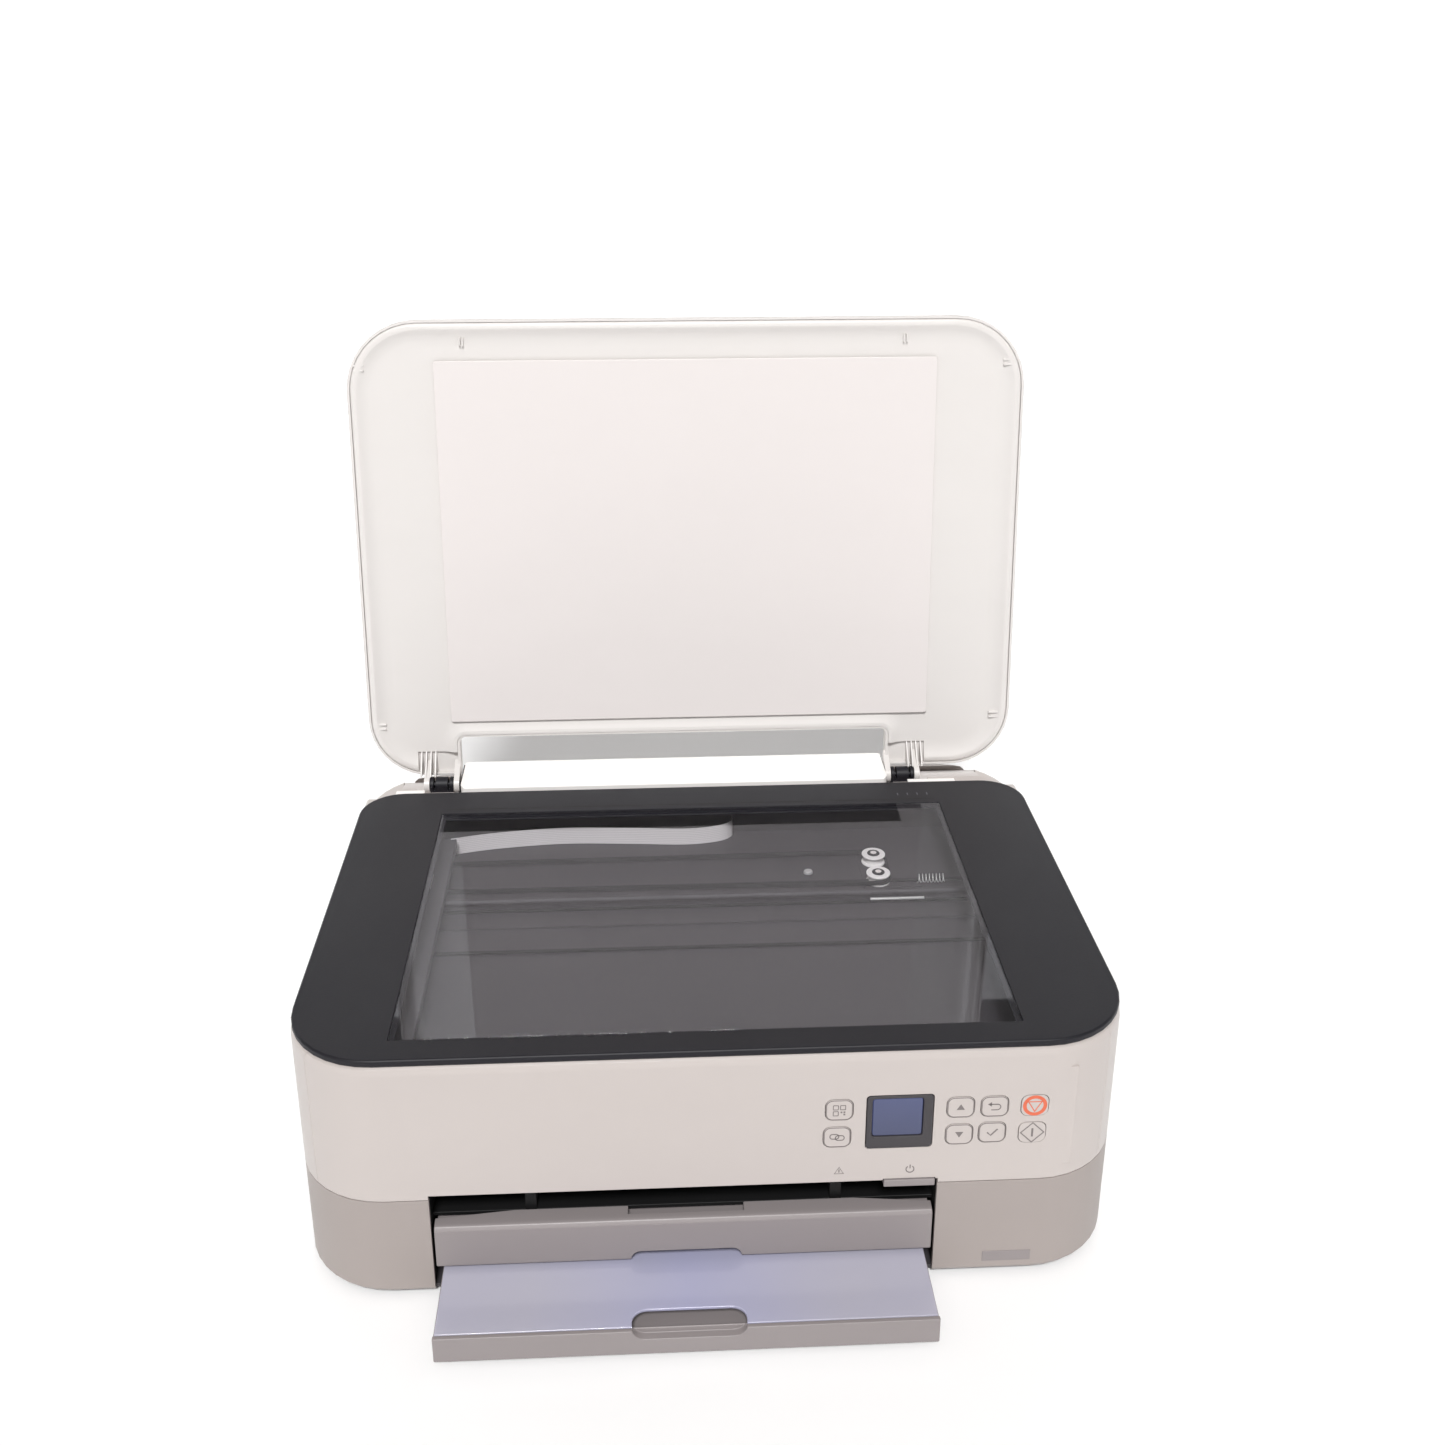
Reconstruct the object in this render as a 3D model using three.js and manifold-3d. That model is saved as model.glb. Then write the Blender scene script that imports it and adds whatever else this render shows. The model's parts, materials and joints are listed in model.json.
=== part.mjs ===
// All-in-one inkjet printer with its lid open: base with paper path and print mechanism, a scanner
// unit that hinges up at the back, and a document lid. Millimetres, +Z up, +Y to the back.
// Every piece is drawn from the front face of the body (y = 0), and the whole group is moved back
// to its origin, the middle of its footprint on the table.
import * as THREE from 'three';
import Module from 'manifold-3d';
import { mergeVertices } from 'three/addons/utils/BufferGeometryUtils.js';

const wasm = await Module();
wasm.setup();

// ---- driving dimensions ----------------------------------------------------------------------
const WIDTH = 403;
const DEPTH = 315;
const PLAN_RADIUS = 45;
const WALL = 2.5;
const GAP = 0.4;
const FOOT = 2.6;
const SEAM = 58.3;
const RIM = 134;
const GLASS_TOP = 138;
const SCANNER_REAR = 262;
const REAR_COVER_FRONT = 263.5;
const REAR_DECK = 124;
const ORIGIN_Y = 139.9;

const OPENING = { x0: -135.5, x1: 107.5 };
const WINDOW = { x0: -151.4, x1: 147.6, y0: 16, y1: 234 };
const LID_AXIS = { y: 281, z: 133.5 };
const LID_ANGLE = -95.5;
const LID = { half: 200.9, front: -5.3, rear: 277.5, radius: 42, rearRadius: 37, under: 138.6, top: 148 };
const NOTCH = { x0: -145.4, x1: 122.6, y0: 252.3 };
const NOTCH_RADIUS = 4;
const ARMS = { left: -156.8, right: 132.4 };
const ARM_WIDTH = 14;
const PIN_REACH = 11.1;
const BARREL = { y: 298, z: 115, r: 10 };
const FEED_AXIS = [112, 48];
const COVER_AXIS = { y: 299, z: 125.5 };
const REAR_TRAY = { x0: -146.6, x1: 123.6 };
const PAD = { x0: -150, x1: 148, y0: 18.5, y1: 242, under: 138.4, top: 142.2 };
const MOUTH_TOP = 60.8;

const COLOURS = {
  white: [0xf2ece8, 0.42, 0],
  panel: [0xdcd4cf, 0.4, 0],
  grey: [0xb4aba6, 0.5, 0],
  black: [0x1c1b1e, 0.45, 0],
  dark: [0x35343a, 0.5, 0],
  glass: [0x8c9096, 0.05, 0],
  screen: [0x646b88, 0.15, 0],
  rubber: [0x202022, 0.9, 0],
  steel: [0xb8babd, 0.3, 1],
  board: [0x1f5c3a, 0.6, 0],
  smoke: [0x9fa2b8, 0.2, 0],
  tray: [0x9a9496, 0.5, 0],
  foam: [0xf6f0f0, 0.8, 0],
  orange: [0xd05a35, 0.4, 0],
  cyan: [0x2f6f9f, 0.4, 0],
};

// ---- solids ----------------------------------------------------------------------------------
function solid(geometry) {
  const bare = geometry.clone();
  bare.deleteAttribute('normal');
  bare.deleteAttribute('uv');
  const merged = mergeVertices(bare, 1e-4);
  return new wasm.Manifold(new wasm.Mesh({
    numProp: 3,
    vertProperties: new Float32Array(merged.attributes.position.array),
    triVerts: new Uint32Array(merged.index.array),
  }));
}

function join(...pieces) {
  return pieces.reduce((whole, piece) => whole.add(piece));
}

function cut(body, ...tools) {
  return tools.reduce((rest, tool) => rest.subtract(tool), body);
}

function box(x0, x1, y0, y1, z0, z1) {
  const geometry = new THREE.BoxGeometry(x1 - x0, y1 - y0, z1 - z0);
  return solid(geometry.translate((x0 + x1) / 2, (y0 + y1) / 2, (z0 + z1) / 2));
}

// A rod between two ends along one axis; at holds the two other coordinates in axis order.
function rod(axis, from, to, at, radius, sides = 24) {
  const geometry = new THREE.CylinderGeometry(radius, radius, to - from, sides);
  const middle = (from + to) / 2;
  if (axis === 'x') {
    geometry.rotateZ(Math.PI / 2).translate(middle, at[0], at[1]);
  } else if (axis === 'y') {
    geometry.translate(at[0], middle, at[1]);
  } else {
    geometry.rotateX(Math.PI / 2).translate(at[0], at[1], middle);
  }
  return solid(geometry);
}

// A profile in the Y-Z plane, drawn out along X.
function alongX(points, x0, x1) {
  const shape = new THREE.Shape(points.map(([y, z]) => new THREE.Vector2(y, z)));
  const geometry = new THREE.ExtrudeGeometry(shape, { depth: x1 - x0, bevelEnabled: false });
  geometry.applyMatrix4(new THREE.Matrix4().makeBasis(
    new THREE.Vector3(0, 1, 0), new THREE.Vector3(0, 0, 1), new THREE.Vector3(1, 0, 0)));
  return solid(geometry.translate(x0, 0, 0));
}

function arc(cy, cz, radius, fromDegrees, toDegrees, steps = 8) {
  return Array.from({ length: steps + 1 }, (_, i) => {
    const angle = THREE.MathUtils.degToRad(fromDegrees + ((toDegrees - fromDegrees) * i) / steps);
    return [cy + radius * Math.cos(angle), cz + radius * Math.sin(angle)];
  });
}

// A rounded rectangle in plan, counterclockwise, with one radius in front and one at the back.
function outline({ x0, x1, y0, y1 }, front, rear = front, inset = 0, steps = 8) {
  const f = Math.max(front - inset, 0.5);
  const r = Math.max(rear - inset, 0.5);
  const [a, b, c, d] = [x0 + inset, x1 - inset, y0 + inset, y1 - inset];
  return [
    ...arc(b - f, c + f, f, -90, 0, steps), ...arc(b - r, d - r, r, 0, 90, steps),
    ...arc(a + r, d - r, r, 90, 180, steps), ...arc(a + f, c + f, f, 180, 270, steps),
  ];
}

// A plate with rounded corners in plan whose edge follows [inset, z] steps from bottom to top.
function plate(area, front, rear, profile, steps = 8) {
  const rings = profile.map(([inset]) => outline(area, front, rear, inset, steps));
  const count = rings[0].length;
  const positions = rings.flatMap((ring, k) => ring.flatMap(([x, y]) => [x, y, profile[k][1]]));
  const index = [];
  for (let k = 0; k + 1 < rings.length; k += 1) {
    for (let i = 0; i < count; i += 1) {
      const [p, q] = [k * count + i, k * count + ((i + 1) % count)];
      index.push(p, q, q + count, p, q + count, p + count);
    }
  }
  const last = (rings.length - 1) * count;
  for (let i = 1; i + 1 < count; i += 1) {
    index.push(0, i + 1, i, last, last + i, last + i + 1);
  }
  const geometry = new THREE.BufferGeometry();
  geometry.setAttribute('position', new THREE.Float32BufferAttribute(positions, 3));
  geometry.setIndex(index);
  return solid(geometry);
}

// A plate that stands in the X-Z plane, such as a key in the front panel.
function upright(x0, x1, z0, z1, y0, y1, radius, steps = 4) {
  const shape = new THREE.Shape(
    outline({ x0, x1, y0: z0, y1: z1 }, radius, radius, 0, steps).map((p) => new THREE.Vector2(...p)));
  const geometry = new THREE.ExtrudeGeometry(shape, { depth: y1 - y0, bevelEnabled: false });
  return solid(geometry.rotateX(Math.PI / 2).translate(0, y1, 0));
}

function node(name, look, body) {
  const { vertProperties, triVerts } = body.getMesh();
  const geometry = new THREE.BufferGeometry();
  geometry.setAttribute('position', new THREE.Float32BufferAttribute(vertProperties, 3));
  geometry.setIndex(Array.from(triVerts));
  const [color, roughness, metalness] = COLOURS[look];
  const mesh = new THREE.Mesh(geometry, new THREE.MeshStandardMaterial({ color, roughness, metalness }));
  mesh.name = name;
  return mesh;
}

// ---- the body's outer form -------------------------------------------------------------------
const HALF = WIDTH / 2;
const PLAN = { x0: -HALF, x1: HALF, y0: 0, y1: DEPTH };
const EVERY = { x: 500, y: 500, z: 500 };

function shell(profile, wall = WALL) {
  const outer = plate(PLAN, PLAN_RADIUS, PLAN_RADIUS, profile, 9);
  const inner = plate(PLAN, PLAN_RADIUS, PLAN_RADIUS, [[wall, -10], [wall, 200]], 9);
  return outer.subtract(inner);
}

function between(body, y0, y1) {
  return body.intersect(box(-EVERY.x, EVERY.x, y0, y1, -EVERY.z, EVERY.z));
}

const UPPER_EDGE = [[0, SEAM + 0.3], [0, 129], [0.25, 131.4], [0.9, 133], [2.2, RIM]];

// ---- base ------------------------------------------------------------------------------------
function feet() {
  const spots = [[-150, 45], [150, 45], [-150, 275], [150, 275]];
  return spots.map(([x, y], i) => {
    const profile = [[0, 0], [8, 0], [9, 0.8], [9, FOOT], [0, FOOT]];
    const points = profile.map(([r, z]) => new THREE.Vector2(r, z));
    const geometry = new THREE.LatheGeometry(points, 24).rotateX(Math.PI / 2);
    return node(`foot_${i + 1}`, 'rubber', solid(geometry.translate(x, y, 0)));
  });
}

function basePan() {
  const floor = plate(PLAN, PLAN_RADIUS, PLAN_RADIUS, [[WALL + GAP, 3], [WALL + GAP, 4.9]], 9);
  const posts = [[-170, 163], [172, 163], [-170, 264], [150, 272]];
  return node('base_pan', 'dark', join(floor, ...posts.map(([x, y]) => rod('z', 4, 59.6, [x, y], 5, 12))));
}

const INLET = { x0: 139, x1: 171, z0: 17, z1: 41 };
const USB = { x0: -170, x1: -154, z0: 20, z1: 34 };

function lowerHousing() {
  const walls = shell([[2, 3], [0, 5.6], [0, SEAM - 0.3]]);
  const mouth = box(OPENING.x0, OPENING.x1, -5, 20, 0, 70);
  const sockets = [INLET, USB].map(({ x0, x1, z0, z1 }) => box(x0, x1, 300, 320, z0, z1));
  return node('lower_housing', 'grey', cut(walls, mouth, ...sockets));
}

function rearCover() {
  const edge = [[0, SEAM + 0.3], [0, REAR_DECK - 3], [1, REAR_DECK - 0.8], [3, REAR_DECK]];
  const walls = between(shell(edge, 3.4), REAR_COVER_FRONT, 330);
  const deck = between(
    plate(PLAN, PLAN_RADIUS, PLAN_RADIUS, [[2, REAR_DECK - 2.5], [3, REAR_DECK]], 9), REAR_COVER_FRONT, 330);
  const pockets = [[-184, -140], [118, 184]].map(([x0, x1]) => box(x0, x1, 250, 309.2, 90, 140));
  const throat = box(REAR_TRAY.x0 - 0.6, REAR_TRAY.x1 + 0.6, 250, 312.4, 58, 140);
  return node('rear_cover', 'white', cut(join(walls, deck), ...pockets, throat));
}

function trayFrame() {
  const cheeks = [[OPENING.x0 - 3, OPENING.x0 - 0.5], [OPENING.x1 + 0.5, OPENING.x1 + 3]];
  const walls = cheeks.map(([x0, x1]) => box(x0, x1, 3, 262, 5.3, 57.6));
  const bridge = box(OPENING.x0 - 3, OPENING.x1 + 3, 14, 52, 55.4, 57.6);
  const shelf = box(OPENING.x0 - 3, OPENING.x1 + 3, 12, 57, 38.4, 40.4);
  const posts = [-88.5, 60].map((x) => box(x - 2.8, x + 2.8, 12, 40, 40, 56));
  const shaftHole = rod('x', -145, -130, FEED_AXIS, 3.7, 16);
  const carriagePath = box(OPENING.x0 - 5, OPENING.x1 + 5, 80, 160, 54, 60);
  return node('tray_frame', 'black', cut(join(...walls, bridge, shelf, ...posts), shaftHole, carriagePath));
}

function rearTrayFrame() {
  const { x0, x1 } = REAR_TRAY;
  const chute = [[311.6, 115], [311.6, 118.4], [256, 62], [252, 62], [252, 58.6], [256.8, 58.6]];
  const cheek = [[264, 98], [311.8, 118], [311.8, 131], [300, 131], [293, 127.2], [264, 124]];
  const holes = rod('x', -150, 130, [COVER_AXIS.y, COVER_AXIS.z], 2.6, 16);
  const walls = join(alongX(cheek, x0, x0 + 2), alongX(cheek, x1 - 2, x1));
  return node('rear_tray_frame', 'dark', join(alongX(chute, x0, x1), walls.subtract(holes)));
}

function rearTrayCover() {
  const profile = [
    [266.2, 131], [266.2, 137.6], [267.4, 138.6], [301, 138], [305, 136.4], [309.3, 131], [310.6, 126.5],
    [309, 123.6], [303.5, 123.4], [300.4, 133], [297, 135.2], [269.4, 135.6], [268.6, 131],
  ];
  const ear = [[303.5, 123.4], [300.6, 134.6], [296.6, 135.4], [296.4, 125], [298, 122.8]];
  const stub = (x0, x1) => rod('x', x0, x1, [COVER_AXIS.y, COVER_AXIS.z], 2.1, 16);
  const [x0, x1] = [REAR_TRAY.x0 + 2.6, REAR_TRAY.x1 - 2.6];
  const ends = [[x0, x0 + 3.2, stub(x0 - 2.2, x0 + 2)], [x1 - 3.2, x1, stub(x1 - 2, x1 + 2.2)]]
    .map(([from, to, pin]) => join(alongX(ear, from, to), pin));
  const corners = plate({ x0, x1, y0: 266, y1: 312 }, NOTCH_RADIUS, 9, [[0, 110], [0, 150]], 6);
  const flap = alongX(profile, x0, x1).intersect(corners);
  return node('rear_tray_cover', 'white', join(flap, ...ends));
}

function paperGuides() {
  const fin = [[270, 86], [276, 86], [294, 105], [294, 119], [288, 122.5], [270, 110]];
  return [['rear_guide_left', -122], ['rear_guide_right', 98]].map(([name, x]) =>
    node(name, 'dark', alongX(fin, x - 1.6, x + 1.6)));
}

function printMechanism() {
  const section = [[156, 60], [168, 60], [168, 62], [158, 62], [158, 98], [150, 98], [150, 96], [156, 96]];
  const rail = alongX(section, -182, 182);
  const platen = cut(box(-128, 100, 74, 103, 44, 50.6),
    ...Array.from({ length: 5 }, (_, i) => box(-120 + i * 44, -90 + i * 44, 80, 97, 48.4, 60)));
  const motor = rod('y', 172, 196, [-150, 84], 15, 24).add(rod('y', 160, 174, [-150, 84], 2.5, 12));
  return [
    node('carriage_rail', 'steel', rail),
    node('print_platen', 'black', platen),
    node('carriage_motor', 'steel', motor),
    node('feed_roller', 'rubber', join(rod('x', -130, 104, FEED_AXIS, 6.5, 16),
      rod('x', -176, 106, FEED_AXIS, 3, 16))),
    node('eject_roller', 'rubber', join(rod('x', -132, 104, [64, 49.5], 2.5, 16),
      ...[-110, -55, 0, 55, 90].map((x) => rod('x', x - 5, x + 5, [64, 49.5], 5.2, 16)))),
    node('pickup_roller', 'rubber', join(rod('x', -34, 6, [214, 34], 12, 20),
      rod('x', -132, 104, [214, 34], 3, 16))),
    node('main_board', 'board', join(box(-190, -188.4, 40, 200, 14, 54),
      ...[60, 95, 140].map((y) => box(-188.6, -181, y, y + 18, 20, 44)))),
    node('power_supply', 'dark', box(116, 190, 180, 262, 6, 52)),
    node('maintenance_station', 'dark', cut(box(116, 188, 62, 146, 6, 52), box(122, 150, 70, 138, 44, 60),
      box(156, 182, 70, 138, 48, 60))),
  ];
}

function powerInlet() {
  const { x0, x1, z0, z1 } = INLET;
  return node('power_inlet', 'black', cut(upright(x0 + GAP, x1 - GAP, z0 + GAP, z1 - GAP, 288, 315, 3),
    upright(x0 + 5, x1 - 5, z0 + 5, z1 - 5, 292, 320, 5)));
}

const CARRIAGE = { x0: 118, x1: 180 };

function printCarriage() {
  const { x0, x1 } = CARRIAGE;
  const holder = cut(box(x0, x1, 84, 155.4, 56, 101), box(x0 + 2.5, (x0 + x1) / 2 - 1.2, 87, 140, 59, 110),
    box((x0 + x1) / 2 + 1.2, x1 - 2.5, 87, 140, 59, 110), box(x0 - 1, x1 + 1, 147.8, 150.2, 60, 96),
    box(x0 - 1, x1 + 1, 149.4, 160, 58, 99.4));
  const cartridge = (name, look, a, b) => node(name, look, cut(
    box(a + 0.5, b - 0.5, 87.6, 139.4, 59.4, 99.4), box(a + 6, b - 6, 80, 92, 90, 110)));
  const middle = (x0 + x1) / 2;
  return [
    node('print_carriage', 'black', holder),
    cartridge('black_cartridge', 'black', x0 + 2.5, middle - 1.2),
    cartridge('colour_cartridge', 'cyan', middle + 1.2, x1 - 2.5),
  ];
}

// ---- paper cassette and output tray ----------------------------------------------------------
const CASSETTE = { x0: -131.6, x1: 103.6, y0: -42.6, y1: 262, z0: 5.3, z1: 16.4 };
const OVAL = { x0: -40, x1: 13.6, radius: 7 };

function cassette() {
  const { x0, x1, y0, y1, z0, z1 } = CASSETTE;
  const tub = cut(box(x0, x1, y0, y1, z0, z1 - 2), box(x0 + 2.4, x1 - 2.4, y0 + 5, y1 - 2.4, z0 + 2, z1 + 1));
  const lip = box(x0, x1, y0, y0 + 2.4, 2.8, z1);
  const scoop = upright(OVAL.x0, OVAL.x1, 11.6, 30, y0 - 5, y0 + 4, OVAL.radius - 1);
  const tray = cut(join(tub, lip), scoop);
  const ovalArea = { x0: OVAL.x0, x1: OVAL.x1, y0: y0 - 3, y1: -29.6 };
  const oval = plate(ovalArea, OVAL.radius, OVAL.radius, [[0, 9], [0, 30]], 6);
  const cover = cut(box(x0 + 0.6, x1 - 0.6, y0 + 2.8, 62, z1 - 1.7, z1), oval);
  const fin = (name, x) => node(name, 'dark', join(box(x - 1, x + 1, 90, 160, 8.6, 14.4),
    box(x - 7, x + 7, 90, 160, 7.6, 8.9)));
  return [
    node('cassette_tray', 'tray', tray),
    node('cassette_cover', 'smoke', cover),
    fin('cassette_guide_left', -119),
    fin('cassette_guide_right', 91),
  ];
}

function outputTray() {
  const [x0, x1] = [OPENING.x0 + 1.4, OPENING.x1 - 1.4];
  const profile = [
    [0.6, 17.9], [-0.4, 19], [-0.4, 39.6], [0.8, 41.4], [2.4, 42], [9.6, 42.6], [9.6, 40.6], [3.2, 39.4],
    [3.2, 36.4], [96, 36.4], [96, 34.4], [3.2, 34.4], [3.2, 17.9],
  ];
  const grip = upright(-40.2, 13.4, 10, 23.2, -5, 4, 4.6);
  const dip = box(-41.4, 14.6, 4.6, 20, 38, 50);
  const ends = [[x0 - 1, x0 + 42], [x1 + 1, x1 - 42]].map(([outer, inner]) => {
    const shape = new THREE.Shape(
      [[outer, 6], [inner, 10], [inner, 12], [outer, 12]].map((p) => new THREE.Vector2(...p)));
    return solid(new THREE.ExtrudeGeometry(shape, { depth: 10, bevelEnabled: false }).translate(0, 0, 38));
  });
  return node('output_tray', 'tray', cut(alongX(profile, x0, x1), grip, dip, ...ends));
}

// ---- scanner unit ----------------------------------------------------------------------------
const BEZEL = { x0: -200.7, x1: 200.7, y0: 0.8, y1: SCANNER_REAR - 0.4 };
const BEZEL_RADIUS = { front: 44.2, rear: 24 };
const HOLLOW = { x0: -166, x1: 162, y0: 13.5, y1: 250 };
const CASE = { x0: -190, x1: 186, y0: 9, y1: 256, z0: 108, z1: 131.2 };
const GRIP = { y0: 60, y1: 90, z0: 119, z1: 131 };
const PANEL_REAR = 15;

function pod(x0, x1, centre) {
  const block = alongX([[255, 109], [255, RIM - 0.4], [262.1, RIM - 0.4], [262.1, 136.2], [270, 136.2],
    [276, 127.8], [289, 127.8], ...arc(BARREL.y, BARREL.z, BARREL.r, 90, -90, 10), [270, 105]], x0, x1);
  const well = box(centre - ARM_WIDTH / 2 - 0.5, centre + ARM_WIDTH / 2 + 0.5, 276.4, 285.6, 107.6, 140);
  const swing = box(centre - 14.4, centre + 14.4, 264.6, 300, 127.6, 140);
  return cut(block, well, swing);
}

function upperHousing() {
  const wholePlan = (profile) => plate(PLAN, PLAN_RADIUS, PLAN_RADIUS, profile, 9);
  const walls = between(shell(UPPER_EDGE), PANEL_REAR + GAP, SCANNER_REAR);
  const top = between(wholePlan([[1, 131.5], [2.2, RIM]]), PANEL_REAR + GAP, SCANNER_REAR);
  const frontDeck = between(wholePlan([[WALL + GAP, 131.5], [WALL + GAP, RIM]]), 0, PANEL_REAR + 5);
  const rearPost = between(wholePlan([[1, 109], [1, 132]]), 256.6, SCANNER_REAR)
    .subtract(box(REAR_TRAY.x0 - 0.6, REAR_TRAY.x1 + 0.6, 200, 300, 100, 131.5));
  const opening = box(HOLLOW.x0, HOLLOW.x1, HOLLOW.y0, HOLLOW.y1, 100, 150);
  const room = box(CASE.x0 - 0.5, CASE.x1 + 0.5, 0, CASE.y1 + 0.5, 100, 131.5);
  const pods = [pod(-183, REAR_TRAY.x0 - 0.6, ARMS.left), pod(REAR_TRAY.x1 + 0.6, 183, ARMS.right)];
  const grips = [-1, 1].map((side) => {
    const [a, b] = [side * 196, side * 206].sort((p, q) => p - q);
    return box(a, b, GRIP.y0 - GAP, GRIP.y1 + GAP, GRIP.z0 - GAP, GRIP.z1 + GAP);
  });
  const body = join(walls, top, frontDeck, rearPost, ...pods.map((p) => p.subtract(room)));
  return node('upper_housing', 'white', cut(body, opening, ...grips));
}

function sideGrips() {
  return [['grip_left', -1], ['grip_right', 1]].map(([name, side]) => {
    const [a, b] = [side * 198.2, side * 203.2];
    const block = box(Math.min(a, b), Math.max(a, b), GRIP.y0, GRIP.y1, GRIP.z0, GRIP.z1);
    const c = side * 205;
    const scoop = rod('y', GRIP.y0 + 3, GRIP.y1 - 3, [c, GRIP.z0 + 3], 4.4, 16);
    return node(name, 'black', block.subtract(scoop));
  });
}

const KEYS = [
  { name: 'scan_code_button', x: 58.9, z: 102.9 },
  { name: 'connect_button', x: 58.2, z: 87.3 },
  { name: 'up_button', x: 116.5, z: 102.2 },
  { name: 'back_button', x: 132.7, z: 102.1 },
  { name: 'down_button', x: 116.5, z: 86.6 },
  { name: 'ok_button', x: 132.3, z: 87.1 },
  { name: 'stop_button', x: 151.9, z: 101.9, look: 'orange' },
  { name: 'start_button', x: 151.6, z: 86.3 },
];
const KEY = { width: 12.9, height: 11.5, radius: 3.4 };
const DISPLAY = { x0: 72, x1: 103.5, z0: 80, z1: 110 };
const POWER = { x0: 81.4, x1: 106.1, z0: 57.4, z1: 61.2 };

function keyOutline(key, grow, y0, y1) {
  const [w, h] = [KEY.width / 2 + grow, KEY.height / 2 + grow];
  return upright(key.x - w, key.x + w, key.z - h, key.z + h, y0, y1, KEY.radius + grow);
}

function controlPanel() {
  const wall = between(shell(UPPER_EDGE), -10, PANEL_REAR);
  const backing = box(44, 172, 1.5, 3.4, 66, 122);
  const holes = KEYS.map((key) => keyOutline(key, 0.35, -5, 10));
  const display = upright(DISPLAY.x0 - GAP, DISPLAY.x1 + GAP, DISPLAY.z0 - GAP, DISPLAY.z1 + GAP, -5, 10, 2);
  const power = box(POWER.x0 - GAP, POWER.x1 + GAP, -5, 10, 50, POWER.z1 + GAP);
  const mouth = box(OPENING.x0 - 0.2, OPENING.x1 + 0.2, -5, 10, 50, MOUTH_TOP);
  return node('control_panel', 'panel', cut(join(wall, backing), ...holes, display, power, mouth));
}

function keys() {
  const pressed = KEYS.map((key) =>
    node(key.name, key.look ?? 'panel', keyOutline(key, 0, -0.3, 3.2)));
  const bar = box(POWER.x0, POWER.x1, -0.9, 3, POWER.z0, POWER.z1);
  return [...pressed, node('power_button', 'tray', bar)];
}

function display() {
  const { x0, x1, z0, z1 } = DISPLAY;
  const lit = upright(x0 + 2.6, x1 - 4.6, z0 + 6.6, z1 - 1.6, -5, 10, 1.5);
  const frame = cut(upright(x0, x1, z0, z1, -0.3, 2.6, 1.8), lit);
  const screen = upright(x0 + 3, x1 - 5, z0 + 7, z1 - 2, 0.3, 2.6, 1.2);
  return [node('display_bezel', 'dark', frame), node('display_screen', 'screen', screen)];
}

function scannerTop() {
  const { x0, x1, y0, y1 } = WINDOW;
  const window = box(x0, x1, y0, y1, 135.4, 150);
  const ledge = box(x0 + 2.5, x1 - 2.5, y0 + 2.5, y1 - 2.5, 120, 150);
  const { front, rear } = BEZEL_RADIUS;
  const frame = plate(BEZEL, front, rear, [[0.5, RIM + 0.3], [0, RIM + 1], [0, 137.3], [0.7, GLASS_TOP]], 9);
  const glass = box(x0 + 0.3, x1 - 0.3, y0 + 0.3, y1 - 0.3, 135.7, 137.8);
  return [node('scanner_frame', 'black', cut(frame, window, ledge)), node('platen_glass', 'glass', glass)];
}

const SCAN_RAIL = { y: 172, z: 114.5 };

function scannerCase() {
  const { x0, x1, y0, y1, z0, z1 } = CASE;
  const tub = plate({ x0, x1, y0, y1 }, 36, 3, [[0, z0], [0, z1]])
    .subtract(plate({ x0, x1, y0, y1 }, 36, 3, [[2.4, z0 + 2.2], [2.4, z1 + 9]]));
  const ribs = [127, 150].map((y) => box(x0 + 1, x1 - 1, y, y + 1.6, z0 + 1, z0 + 3.4));
  const rail = join(rod('x', x0 + 1, x1 - 1, [SCAN_RAIL.y, SCAN_RAIL.z], 2, 16),
    box(x0 + 1, x1 - 1, SCAN_RAIL.y - 0.7, SCAN_RAIL.y + 0.7, z0 + 1, SCAN_RAIL.z));
  return node('scanner_case', 'dark', join(tub, ...ribs, rail));
}

const PULLEYS = { drive: [-170, 201], tension: [104.8, 190.1], idler: [105, 211.7], r: 7 };

function scanDrive() {
  const { drive, tension, idler, r } = PULLEYS;
  const pulley = (name, [x, y], radius) => node(name, 'white', join(
    rod('z', 110.6, 111.6, [x, y], radius, 24), rod('z', 111, 116, [x, y], radius - 1.6, 24),
    rod('z', 115.6, 116.6, [x, y], radius, 24)));
  const loop = (grow, z0, z1) => {
    const around = [drive, idler, tension];
    const discs = [16, r + 1, r + 1].map((radius, i) => rod('z', z0, z1, around[i], radius - 8 + grow, 24));
    return wasm.Manifold.hull(discs);
  };
  const belt = loop(7.6, 112.4, 115).subtract(loop(6.6, 110, 120));
  return [
    pulley('scan_pulley_drive', drive, 15),
    pulley('scan_pulley_tension', tension, r),
    pulley('scan_pulley_idler', idler, r),
    node('scan_belt', 'rubber', belt),
  ];
}

const SCAN_CARRIAGE = { x0: -172, x1: -143, y0: 19, y1: 229 };

function scanCarriage() {
  const { x0, x1, y0, y1 } = SCAN_CARRIAGE;
  const shoe = box(x0 + 3, x1 - 3, SCAN_RAIL.y - 4, SCAN_RAIL.y + 4, 114.5, 121);
  const groove = join(rod('x', x0, x1, [SCAN_RAIL.y, SCAN_RAIL.z], 2.5, 16),
    box(x0, x1, SCAN_RAIL.y - 1.2, SCAN_RAIL.y + 1.2, 110, SCAN_RAIL.z));
  const base = box(x0, x1, y0, y1, 118.4, 123.4);
  return [
    node('scan_carriage', 'white', cut(join(base, shoe), groove)),
    node('image_sensor', 'black', box(x0 + 4, x1 - 9, y0 + 4, y1 - 6, 123.8, 130.4)),
  ];
}

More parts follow.
